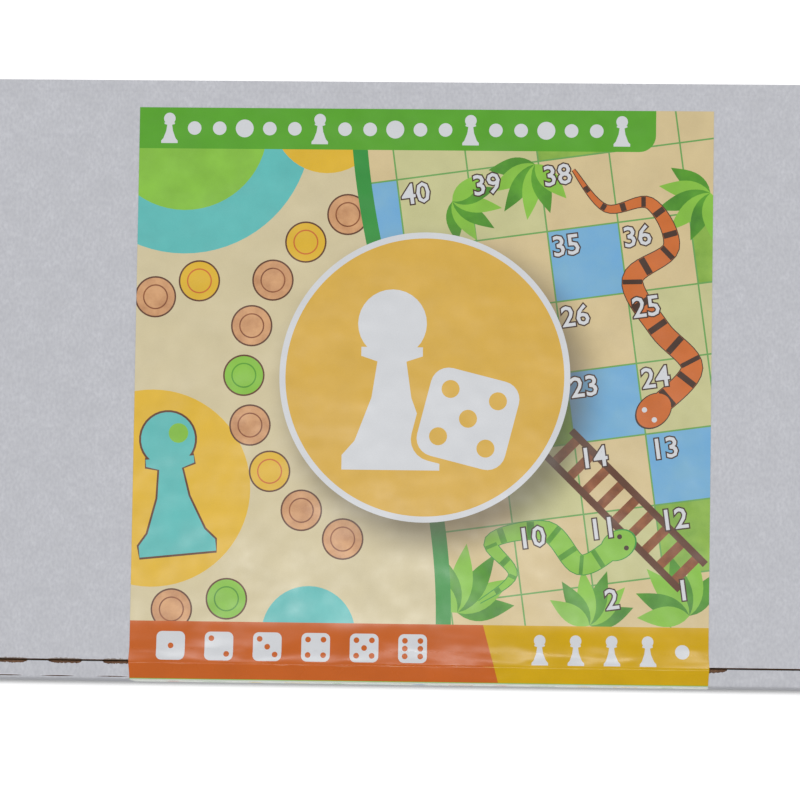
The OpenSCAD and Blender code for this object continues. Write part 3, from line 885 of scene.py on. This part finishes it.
def snake(art, spine, width, skin, band, edge, eye):
    """Plain snake along a smooth line, its head at the last point."""
    spine = np.array(spine, float)
    pts = []
    for p0, p1, p2, p3 in zip([spine[0], *spine], spine, spine[1:], [*spine[2:], spine[-1]]):
        for t in np.arange(9) / 9:
            pts.append(0.5 * (2 * p1 + (p2 - p0) * t + (2 * p0 - 5 * p1 + 4 * p2 - p3) * t * t
                              + (3 * p1 - p0 - 3 * p2 + p3) * t ** 3))
    pts.append(spine[-1])
    n = len(pts)
    taper = [width * min(1.0, 0.12 + 1.5 * k / n) for k in range(n)]
    art.add(edge, ribbon(pts, [w + 0.09 * width for w in taper]))
    d = pts[-1] - pts[-2]
    angle = math.degrees(math.atan2(d[1], d[0]))
    head = [(x * 1.3, y) for x, y in circle(0.25 * width, 0, 0.72 * width, 28)]
    art.add(edge, spin(head, angle, *pts[-1], 1.07))
    art.add(skin, ribbon(pts, taper))
    for k in range(4, n - 3, 4):
        art.add(band, ribbon(pts[k:k + 2], taper[k] * 0.98))
    art.add(skin, spin(head, angle, *pts[-1]))
    for s in (-1, 1):
        art.add(eye, spin(circle(0.62 * width, s * 0.34 * width, 0.13 * width, 14), angle, *pts[-1]))


# Label print

paper_edge = ink("label_paper", (214, 214, 208), 0.03, 0.6)
green = ink("ink_green", (83, 155, 40), 0.05, creased=True)
orange = ink("ink_orange", (187, 92, 32), 0.04, creased=True)
yellow = ink("ink_yellow", (197, 157, 10), 0.05, creased=True)
gold = ink("ink_gold", (205, 165, 70), 0.04)
white = ink("ink_white", (201, 203, 206), 0.02, creased=True)
# whitish green for the label on the front wall: a painted reflection
reflection_pale = ink("ink_pale", (206, 214, 200), 0.03)
# lighter orange and yellow for the painted highlight along the slit
crease_highlight_orange = ink("ink_worn_orange", (198, 122, 78), 0.06)
crease_highlight_yellow = ink("ink_worn_yellow", (208, 178, 72), 0.06)
cream = ink("ink_cream", (200, 188, 152), 0.04, shaded=True)
sand = ink("ink_sand", (203, 184, 140), 0.05, shaded=True)
straw = ink("ink_straw", (190, 188, 138), 0.05, shaded=True)
meadow = ink("ink_meadow", (140, 176, 74), 0.09, shaded=True, second=(116, 160, 62))
line_green = ink("ink_line", (104, 156, 84), 0.05, shaded=True)
border = ink("ink_border", (52, 138, 60), 0.06, shaded=True)
leaf_a = ink("ink_leaf", (86, 150, 44), 0.12, shaded=True, second=(64, 126, 40))
leaf_b = ink("ink_leaf_light", (128, 182, 64), 0.1, shaded=True)
pond = ink("ink_pond", (104, 158, 198), 0.08, shaded=True, second=(124, 176, 206))
wood = ink("ink_wood", (140, 84, 50), 0.14, shaded=True, second=(116, 66, 40), scale=220)
bark = ink("ink_bark", (92, 56, 38), 0.12, shaded=True)
tan = ink("ink_tan", (204, 156, 112), 0.07, shaded=True, second=(186, 134, 94), scale=200)
teal = ink("ink_teal", (92, 178, 174), 0.06, shaded=True)
sun = ink("ink_sun", (212, 172, 50), 0.05, shaded=True)
rust = ink("ink_rust", (194, 104, 48), 0.08, shaded=True)
dark = ink("ink_dark", (66, 46, 36), 0.1)
red = ink("ink_red", (178, 52, 40), 0.05)
blue = ink("ink_blue", (58, 112, 172), 0.05)

label_half, label_back = LABEL_HI[0], LABEL_HI[1]
wrap = rounded_path([(SEAM - SEAM_GAP, TOP - DIP_DEPTH), (CREASE_A[0] - WRAP_IN, TOP - WRAP_SAG), CREASE_B,
                     (FRONT, LABEL_END)], [WRAP_ROUND, ROUND_B])
label_front = SEAM - wrap[-1, 0]
fold_v = SEAM - fillet(wrap, 1).mean()
label = Art(rect(-label_half, label_front, label_half, label_back), cream)
label.score(label_half, SEAM - wrap[1:-1, 0])
label.score(label_half, SEAM - np.linspace(fillet(wrap, 0)[-1], fillet(wrap, 1)[0], 5)[1:-1])
label.score(label_half, np.linspace(SEAM, DIP_START, 11))


def divide(v):
    """Line between the two halves of the picture."""
    return -8 - 17 * math.sin((v - 10) / 62)


# left half: an arc of round tiles, a pawn before a large disc, and plain areas
for colour, x, y, r, n in ((sun, -98, -40, 36, 72), (teal, -88, 92, 46, 72), (leaf_b, -88, 92, 30, 60),
                           (sun, -36, 96, 20, 48), (teal, -40, -92, 17, 48)):
    label.add(colour, circle(x, y, r, n))
TILE_ARC, TILE_START, TILE_STEP = 66.0, 244, -16
tiles = [turned(TILE_ARC, 0, TILE_START + TILE_STEP * k, *DISC) for k in range(9)]
tiles += [(-70, -80), (-90, -84), (-98, 30), (-82, 36)]
for k, (x, y) in enumerate(tiles):
    rim, ring = ((tan, wood), (tan, wood), (sun, rust), (tan, wood), (leaf_b, leaf_a))[k % 5]
    for colour, r, n in ((bark, 7.6, 40), (rim, 7.0, 40), (ring, 4.6, 32), (rim, 4.1, 32)):
        label.add(colour, circle(x, y, r, n))
PAWN_SPOT = (6, -88, -64)  # tilt, x, y
pawn_parts = [spin(p, *PAWN_SPOT) for p in pawn_icon(52)]
label.many(bark, [ribbon(p + p[:2], 1.5) for p in pawn_parts])
label.many(teal, pawn_parts)
label.add(leaf_b, spin(circle(4, 44, 3.6, 24), *PAWN_SPOT))

# right half: tilted numbered squares with a ladder and two snakes
CELL, CELL_GAP, ROWS, COLUMNS = 26.0, 0.3, 8, 6
FIELD = (8, 118, -92)  # tilt, then x, y of the corner that the squares are counted from
field = [(label_half + 1, label_back + 1)]
field += [(divide(v), v) for v in np.linspace(label_back + 1, BAND_LOW - 3, 40)]
field += [(label_half + 1, BAND_LOW - 3)]
label.add(line_green, field)
label.clip = label.add("mask", field)
cells = (sand, straw, sand, meadow, straw, sand, pond, sand)
side = CELL / 2 - CELL_GAP
for r in range(-1, ROWS):
    for c in range(-1, COLUMNS):
        middle = turned(-(c + 0.5) * CELL, (r + 0.5) * CELL, *FIELD)
        shade = cells[(3 * r + 5 * c + (r * c) % 3) % 8]
        label.add(shade, spin(rect(-side, -side, side, side), FIELD[0], *middle))
LEAF_L, LEAF_W, FAN_FROM, FAN_STEP = 24, 7.5, -62, 25
for x, y, turn, size in ((98, -84, 120, 1.0), (40, 80, 250, 0.9), (62, -88, 85, 0.9), (14, -84, 70, 1.1),
                         (104, 70, 210, 0.9), (10, 66, -20, 0.8)):
    for k in range(6):
        shape = leaf((LEAF_L - 2 * abs(k - 2.5)) * size, LEAF_W * size)
        label.add((leaf_a, leaf_b)[k % 2], spin(shape, turn + FAN_FROM + FAN_STEP * k, x, y))
ladder(label, (99, -70), (50, -22), 13, 2.6, 3.4, bark, wood, 9)
snake(label, [(54, 78), (66, 64), (82, 66), (90, 50), (76, 38), (86, 20), (98, 6), (86, -8)], 7.5,
      rust, dark, dark, white)
snake(label, [(22, -80), (34, -70), (26, -58), (46, -54), (58, -66), (70, -60)], 7.0,
      leaf_b, leaf_a, border, dark)
for r in range(ROWS):
    for c in range(COLUMNS):
        x, y = turned(-(c + 0.76) * CELL, (r + 0.76) * CELL, *FIELD)
        clear = divide(y) + 8 <= x <= label_half - 6 and BAND_LOW + 7 <= y <= BAND_TOP - 6
        if clear and math.dist((x, y), DISC) >= RING_R + 5:
            n = COLUMNS * r + (c if r % 2 == 0 else COLUMNS - 1 - c) + 1
            number(label, str(n), 10.5, x, y, white, dark, FIELD[0])
label.clip = None
label.add(border, ribbon([(divide(v), v) for v in np.linspace(BAND_TOP + 3, BAND_LOW - 3, 40)], 5.5))

# bands
NOTCH_X, NOTCH_ROUND = 78, 6
label.add(green, [(-label_half, label_back), (-label_half, BAND_TOP), (NOTCH_X, BAND_TOP),
                  *arc(NOTCH_X, BAND_TOP + NOTCH_ROUND, NOTCH_ROUND, 270, 360, 8),
                  (NOTCH_X + NOTCH_ROUND, label_back)])
for k in range(19):
    x, y = -94 + 9.2 * k, (BAND_TOP + label_back) / 2
    if k % 6 == 0:
        pawn_print(label, white, 11.2, x, y - 5.6)
    else:
        label.add(white, circle(x, y, 2.5 if k % 3 else 3.3, 28))
split = [(23.4, BAND_LOW), (29.3, SEAM - 7.0), (29.3, label_front)]
label.add(orange, [(-label_half, BAND_LOW), *split, (-label_half, label_front)])
label.add(yellow, [split[0], (label_half, BAND_LOW), (label_half, label_front), split[2], split[1]])
LOW_MID = -97.2
for k in range(6):
    die_icon(label, 10.4, k + 1, -90 + 17.6 * k, LOW_MID, white, orange)
for x in (44, 57, 70, 83):
    pawn_print(label, white, 11.0, x, LOW_MID - 5.4)
label.add(white, circle(95.5, LOW_MID, 2.6, 28))

# painted highlight along the crease at the slit, as lighter lines in broken lengths
highlight_x = -label_half
while highlight_x < label_half - 12:
    highlight_end = highlight_x + rng.uniform(*CREASE_HIGHLIGHT_LONG)
    thick, highlight_v = rng.uniform(*CREASE_HIGHLIGHT_THICK), SEAM - rng.uniform(*CREASE_HIGHLIGHT_IN)
    end_v = highlight_v + rng.uniform(*CREASE_HIGHLIGHT_TILT)
    middle = (highlight_x + highlight_end) / 2
    label.add(crease_highlight_orange if highlight_end < CREASE_HIGHLIGHT_CHANGE else crease_highlight_yellow,
              [(highlight_x, highlight_v), (middle, end_v - thick), (highlight_end, end_v), (middle, end_v)])
    highlight_x = highlight_end + rng.uniform(*CREASE_HIGHLIGHT_GAP)

# front wall: the whitish green ground is a painted reflection, with a green line at the fold and printed
# dice and pawns
fold_line = (fold_v + 0.2, fold_v + 0.45)
label.add(reflection_pale, rect(-label_half, label_front, label_half, fold_line[0]))
label.add(leaf_b, rect(-label_half, fold_line[0], label_half, fold_line[1]))
wall_mid = (label_front + fold_v) / 2
for k in range(13):
    x, turn = -90 + 15 * k, k // 2
    if k % 2:
        die_icon(label, 9.0, turn % 6 + 1, x, wall_mid, (green, sun, teal, rust)[turn % 4], white)
    else:
        pawn_print(label, (red, sun, green, blue)[turn % 4], 13, x, wall_mid - 6.5)

# disc
label.add(white, circle(*DISC, RING_R, 128))
label.add(gold, circle(*DISC, DISC_R, 128))
pawn_print(label, white, 66, DISC[0] - 12, DISC[1] - 34)
die_spot, die_turn = (DISC[0] + 16, DISC[1] - 15), -14
label.add(gold, spin(rounded(37, 37, 8), die_turn, *die_spot))
die_icon(label, 33, 5, *die_spot, white, gold, die_turn)
solved = label.solve()


def flare(u, v):
    """The label spreads a little where it bends into the slit."""
    return u * (1 + FLARE * np.exp(-((v - SEAM) / FLARE_REACH) ** 2))


def on_lid(lift):
    return lambda u, v: np.stack([flare(u, v), v, TOP + dip(v) + lift], 1)


def on_wall(lift):
    return along(wrap, lift, SEAM, flare)


sheet("seal_label_lid", solved, on_lid(LABEL_T + LABEL_LIFT), on_lid(LABEL_LIFT), paper_edge,
      "lid", ["label_lid"], keep=lambda p: p[1] > SEAM)
sheet("seal_label_front", solved, on_wall(LABEL_T + LABEL_LIFT), on_wall(LABEL_LIFT), paper_edge,
      "base", ["label_front"], keep=lambda p: p[1] < SEAM)


# Board prints

def board_ink(name, rgb, vary, rough=0.45):
    return ink("board_" + name, rgb, vary, rough)


board_mid = ((BOARD_LO[0] + BOARD_HI[0]) / 2, (BOARD_LO[1] + BOARD_HI[1]) / 2)
BOARD, BOARD_R, PRINT_T = BOARD_HI[0] - BOARD_LO[0], 6.0, 0.3
b_frame = board_ink("frame", (66, 140, 58), 0.06)
b_cells = [board_ink(n, c, 0.05) for n, c in (
    ("sand", (214, 190, 140)), ("mint", (166, 200, 140)), ("sky", (150, 192, 214)),
    ("peach", (222, 160, 112)), ("lemon", (226, 204, 110)))]
b_line = board_ink("line", (226, 224, 214), 0.02)
b_text = board_ink("number", (70, 50, 38), 0.06)
b_rail = board_ink("rail", (120, 74, 44), 0.1)
b_rung = board_ink("rung", (158, 104, 62), 0.1)
b_skins = [board_ink("snake_" + n, c, 0.08) for n, c in (
    ("red", (186, 62, 44)), ("green", (72, 142, 60)), ("blue", (60, 112, 170)), ("gold", (214, 160, 46)))]
b_edge = board_ink("paper", (220, 212, 196), 0.03, 0.6)

snakes_art = Art(rounded(BOARD, BOARD, BOARD_R, 8), b_frame)
CELLS, STEP, STEP_GAP = 10, 18.4, 0.7
RUNG_PITCH, SWING = 7, 9
half_grid = CELLS * STEP / 2
snakes_art.add(b_line, rounded(2 * half_grid + 2, 2 * half_grid + 2, 2))


def cell_mid(n):
    """Middle of square n, counted to and fro from the lower left corner."""
    r, c = divmod(n - 1, CELLS)
    c = c if r % 2 == 0 else CELLS - 1 - c
    return np.array((-half_grid + (c + 0.5) * STEP, -half_grid + (r + 0.5) * STEP))


SQUARES = range(1, CELLS * CELLS + 1)
for n in SQUARES:
    square = spin(rounded(STEP - STEP_GAP, STEP - STEP_GAP, 1.2, 3), 0, *cell_mid(n))
    snakes_art.add(b_cells[(n * 3 + (n - 1) // CELLS) % 5], square)
for a, b in ((4, 25), (13, 46), (33, 49), (42, 63), (50, 69), (62, 81), (74, 92)):
    a, b = cell_mid(a), cell_mid(b)
    ladder(snakes_art, a, b, 8, 1.5, 1.3, b_rail, b_rung, 3 + int(math.dist(a, b) / RUNG_PITCH))
for k, (a, b) in enumerate(((27, 5), (40, 3), (66, 45), (76, 58), (89, 53), (99, 41))):
    p, d = cell_mid(b), cell_mid(a) - cell_mid(b)
    side = left(unit(d)) * SWING
    spine = [p + d * t + side * math.sin(3 * math.pi * t) for t in np.linspace(0, 1, 9)]
    snake(snakes_art, spine, 5.0, b_skins[k % 4], b_line, b_text, b_line)
NUMBER_INDENT = {1: 2.6, 2: 4.0, 3: 5.2}  # by the count of digits
for n in SQUARES:
    x, y = cell_mid(n) + (-STEP / 2, STEP / 2)
    number(snakes_art, str(n), 5.6, x + NUMBER_INDENT[len(str(n))], y - 3.4, b_text)

cross_art = Art(rounded(BOARD, BOARD, BOARD_R, 8), b_cells[0])
TRACK, TRACK_FROM, TRACK_STEP, ARM = 7, 34, 9.4, 20.0
HOME, HOME_W, SPOT = 65.5, 62, 9.5
for k, home_ink in enumerate(b_skins):
    quarter = 90 * k
    home = turned(HOME, HOME, quarter)
    cross_art.add(home_ink, spin(rounded(HOME_W, HOME_W, 8), 0, *home))
    cross_art.add(b_line, circle(*home, 25))
    for px, py in ((-1, -1), (1, -1), (1, 1), (-1, 1)):
        spot = turned(HOME + SPOT * px, HOME + SPOT * py, quarter)
        cross_art.add(home_ink, circle(*spot, 7.2, 32))
        cross_art.add(b_cells[4], circle(*spot, 5.6, 32))
    for r in range(TRACK):
        for c in (-1, 0, 1):
            spot = turned(c * ARM, TRACK_FROM + TRACK_STEP * r, quarter)
            cross_art.add(home_ink if c == 0 and r < TRACK - 1 else b_line,
                          spin(rounded(ARM - 0.8, 8.6, 1.2, 3), quarter, *spot))
            if c != 0 and r == 3:
                cross_art.add(home_ink, circle(*spot, 3.2, 28))
    wedge = [(0, 0), (29, 29), (-29, 29)]
    cross_art.add(home_ink, spin([(x * 0.97, y * 0.97 + 0.6) for x, y in wedge], quarter))
cross_art.add(b_line, circle(0, 0, 9, 40))



def on_board(z, flip):
    return lambda u, v: np.stack([board_mid[0] + flip * u, board_mid[1] + v, np.full_like(u, z)], 1)


for name, art, node, flip, z in (("snakes", snakes_art, "board_print_top", 1, BOARD_HI[2]),
                                 ("cross", cross_art, "board_print_bottom", -1, BOARD_LO[2])):
    sheet("board_face_" + name, art.solve(), on_board(z + flip * PRINT_T, flip), on_board(z, flip), b_edge,
          "base", [node])


# Plywood core, dice, rules

PLY = 1.0
PIP_BELOW, PIP_WITHIN = 7.985, 11.1  # from the middle of a die: to its sides, to its corners
RULES_ROW = 4.2


def plywood():
    """Plies by turns along and across, with dark lines of glue."""
    g = Surface("plywood_core")
    z = g.axes()[2]
    ply = g.math("FLOOR", g.math("DIVIDE", g.math("SUBTRACT", z, BOARD_LO[2] * MM), PLY * MM))
    grain = g.clouds(900, 4.0, (0.05, 1, 1))
    long_ply = g.mix(grain, lin((206, 172, 126)), lin((186, 148, 102)))
    end_ply = g.mix(g.clouds(2200, 2.0), lin((158, 116, 76)), lin((132, 94, 60)))
    glue = g.math("LESS_THAN", g.math("FRACT", g.math("DIVIDE", z, PLY * MM)), 0.08)
    colour = g.mix(g.math("MODULO", ply, 2.0), long_ply, end_ply)
    colour = g.mix(glue, colour, lin((96, 66, 42)), 0.5)
    return g.finish(colour, g.spread(grain, 0, 1, 0.55, 0.7), g.bump(grain, 0.3, 0.0001), 0.3)


def beech_die(node, turn):
    """Beech with dark hollow pips, which are the faces below the die's sides and inside its corners."""
    lo, hi = mm_box(node)
    g = Surface("beech_" + node)
    shift = g.vector("SUBTRACT", g.coord, (lo + hi) / 2 * MM)
    local = g.node("VectorRotate", {"Vector": shift, "Angle": -math.radians(turn)},
                   rotation_type="Z_AXIS").outputs[0]
    ax = g.axes(g.vector("ABSOLUTE", local))
    widest = g.math("MAXIMUM", g.math("MAXIMUM", ax[0], ax[1]), ax[2])
    below = g.math("LESS_THAN", widest, PIP_BELOW * MM)
    pip = g.math("MULTIPLY", below, g.math("LESS_THAN", g.vector("LENGTH", local), PIP_WITHIN * MM))
    streak = g.clouds(900, 4.0, (0.08, 1, 1), 0.5, local)
    beech = g.mix(streak, lin((222, 188, 142)), lin((196, 156, 110)))
    beech = g.mix(g.clouds(130, 2.0), beech, lin((184, 140, 96)), 0.35)
    colour = g.mix(pip, beech, lin((34, 28, 26)))
    return g.finish(colour, g.spread(streak, 0, 1, 0.42, 0.55), g.bump(streak, 0.25, 0.00008), 0.4)


def rules_material():
    """Folded sheet with rows of plain grey bars where its text would be."""
    g = Surface("rules_sheet")
    row = g.math("FRACT", g.math("DIVIDE", g.axes()[1], RULES_ROW * MM))
    words = g.math("GREATER_THAN", g.noise(90, 0.0, (1, 3, 0)), 0.42)
    bar = g.math("MULTIPLY", g.math("LESS_THAN", row, 0.34), words)
    fibre = g.clouds(1600)
    colour = g.mix(fibre, lin((222, 220, 212)), lin((236, 234, 228)))
    colour = g.mix(bar, colour, lin((110, 108, 108)), 0.55)
    return g.finish(colour, 0.7, g.bump(fibre, 0.15, 0.00005), 0.3)


def paint(name, rgb, worn):
    """Satin lacquer over turned wood: turning rings, brush tone and a little wear."""
    g = Surface(name)
    tone = g.clouds(160)
    colour = g.mix(tone, lin(rgb, 0.9), lin(rgb, 1.08))
    rings = g.noise(700, 2.0, (0.15, 1, 0.15))
    scuff = g.spread(g.noise(420, 4.0, rough=0.7), 0.66, 0.74)
    colour = g.mix(scuff, colour, lin(worn), 0.55)
    return g.finish(colour, g.spread(tone, 0, 1, 0.26, 0.36), g.bump(rings, 0.12, 0.00015), 0.5)


dress("board_core", plywood())
dress("rules_leaflet", rules_material())
for node, turn in (("die_1", 20), ("die_2", -35)):
    dress(node, beech_die(node, turn))

# Pawns: turned profile as radius, height
PAWN_H, FOOT_R, RIM_H, HEAD_R, NECK_R, COLLAR_R = 36.0, 9.0, 3.0, 6.5, 3.5, 5.25
FOOT_FLAT, FOOT_ROUND, RIM_ROUND, COLLAR_ROUND = 1.6, 0.7, 0.6, 0.8
NECK_Z = PAWN_H - 2 * HEAD_R - 2
SIDES = 48
waist_h, waist_w = NECK_Z - RIM_H, FOOT_R - 1 - NECK_R
waist_r = (waist_h ** 2 + waist_w ** 2) / (2 * waist_w)
foot_a, head_a = math.degrees(0.1) - 90, 90 - math.degrees(0.12)
neck_a = math.degrees(math.asin(NECK_R / HEAD_R)) - 90
profile = [(FOOT_R - FOOT_FLAT, 0.0)]
profile += arc(FOOT_R - FOOT_ROUND, FOOT_ROUND, FOOT_ROUND, foot_a, 0, 5)
profile += arc(FOOT_R - RIM_ROUND, RIM_H - RIM_ROUND, RIM_ROUND, 0, 90, 5)
profile += [(NECK_R + waist_r - math.sqrt(waist_r ** 2 - (NECK_Z - z) ** 2), z)
            for z in np.linspace(RIM_H + 0.05, NECK_Z - 0.3, 22)]
profile += arc(COLLAR_R - COLLAR_ROUND, NECK_Z + COLLAR_ROUND, COLLAR_ROUND, -90, 90, 8)
profile += arc(0, PAWN_H - HEAD_R, HEAD_R, neck_a, head_a, 21)

pawn_verts, pawn_faces = [(0, 0, 0)], []
for r, z in profile:
    pawn_verts += [(x, y, z) for x, y in circle(0, 0, r, SIDES)]
pawn_verts.append((0, 0, PAWN_H))
last = 1 + (len(profile) - 1) * SIDES
for k in range(SIDES):
    j = (k + 1) % SIDES
    pawn_faces.append((0, 1 + j, 1 + k))
    for a in range(1, last, SIDES):
        pawn_faces.append((a + k, a + j, a + SIDES + j, a + SIDES + k))
    pawn_faces.append((last + k, last + j, len(pawn_verts) - 1))

# each pawn lies on its foot's rim and its head
head_up = PAWN_H - HEAD_R - RIM_H
lying = math.acos(HEAD_R / math.hypot(FOOT_R, head_up)) - math.atan2(head_up, FOOT_R)
tip = Matrix.Rotation(math.pi / 2 + lying, 4, "X") @ Matrix.Translation((0, 0, -RIM_H))
outline = [(0, 0), *profile, (0, PAWN_H)]
far_y = max((tip @ Vector((0, s * r, z))).y for r, z in outline for s in (-1, 1))
PAINTS = {"red": (178, 34, 28), "yellow": (226, 172, 34), "green": (46, 122, 48), "blue": (28, 84, 158)}
for colour, rgb in PAINTS.items():
    lacquer = paint("lacquer_" + colour, rgb, (206, 172, 126))
    for k in range(1, 5):
        node = f"pawn_{colour}_{k}"
        lo, hi = mm_box(node)
        foot = ((lo[0] + hi[0]) / 2, hi[1] - far_y, FLOOR + math.cos(lying) * FOOT_R)
        spot = Matrix.Translation(foot) @ tip
        make(node + "_turned", [tuple(spot @ Vector(v)) for v in pawn_verts], pawn_faces,
             [0] * len(pawn_faces), [lacquer], "base", [node], [True] * len(pawn_faces))

# Camera, fitted to the photograph
cam_data = bpy.data.cameras.new("camera")
cam_data.lens, cam_data.sensor_width, cam_data.sensor_fit = 220.985, 36.0, "HORIZONTAL"
cam_data.clip_start, cam_data.clip_end = 0.05, 50.0
camera = bpy.data.objects.new("camera", cam_data)
right = Vector((0.998431, 0.015355, -0.053848))
up = Vector((-0.010883, 0.996542, 0.08238))
forward = Vector((-0.054927, 0.081664, -0.995145))
facing = Matrix((right, up, -forward)).transposed().to_4x4()
camera.matrix_world = Matrix.Translation((0.09018, -0.15277, 1.80905)) @ facing
scene.collection.objects.link(camera)
scene.camera = camera


# Stage: floor, world, lamps

WHITE = (1, 1, 1, 1)
CONTACT_REACH, CONTACT_DARK, CONTACT_CLEAR, FLOOR_GLOW = 0.0035, 0.52, 0.9, 0.62
FLOOR_HALF, FLOOR_Z = 6000, -0.1


def seen_directly(g):
    """1 for rays that show the background itself, 0 for those that carry its light."""
    path = g.node("LightPath").outputs
    total = path["Is Camera Ray"]
    for key in ("Is Glossy Ray", "Is Transmission Ray"):
        total = g.math("MAXIMUM", total, path[key])
    return total


g = Graph(bpy.data.materials.new("floor"))
g.tree.nodes.clear()
contact = g.node("AmbientOcclusion", {"Distance": CONTACT_REACH}).outputs["AO"]
lit = g.spread(contact, CONTACT_DARK, CONTACT_CLEAR, kind="SMOOTHSTEP")
shown = g.math("MULTIPLY", seen_directly(g), lit)
glow = g.node("Emission", {"Color": WHITE, "Strength": g.math("MULTIPLY", shown, FLOOR_GLOW)})
diffuse = g.node("BsdfDiffuse", {"Color": (0.6, 0.6, 0.6, 1)})
both = g.node("AddShader", {0: diffuse.outputs[0], 1: glow.outputs[0]})
g.node("OutputMaterial", {"Surface": both.outputs[0]})
corners = rect(-FLOOR_HALF, -FLOOR_HALF, FLOOR_HALF, FLOOR_HALF)
make("floor", [(x, y, FLOOR_Z) for x, y in corners], [(0, 1, 2, 3)], [0], [g.owner], None)

scene.world = bpy.data.worlds.new("studio")
g = Graph(scene.world)
background = g.tree.nodes["Background"]
background.inputs["Color"].default_value = (0.56, 0.56, 0.565, 1)
clear = g.node("Background", {"Color": WHITE})
pick = g.node("MixShader", {0: seen_directly(g), 1: background.outputs[0], 2: clear.outputs[0]})
g.put(g.tree.nodes["World Output"].inputs["Surface"], pick.outputs[0])


def lamp(name, place, size, power):
    """Rectangular soft lamp aimed at the middle of the lid."""
    data = bpy.data.lights.new(name, "AREA")
    data.shape, data.size, data.size_y, data.energy = "RECTANGLE", size[0], size[1], power
    ob = bpy.data.objects.new(name, data)
    ob.location = place
    ob.rotation_euler = (Vector((0, 0, 0.03)) - Vector(place)).to_track_quat("-Z", "Y").to_euler()
    scene.collection.objects.link(ob)


lamp("right", (1.7, 0.1, 2.5), (1.0, 0.8), 15.5)
lamp("left", (-1.7, 0.1, 2.5), (1.0, 0.8), 11.5)
lamp("overhead", (-0.12, -0.14, 2.4), (0.4, 0.12), 12.0)

scene.view_settings.view_transform = "Standard"
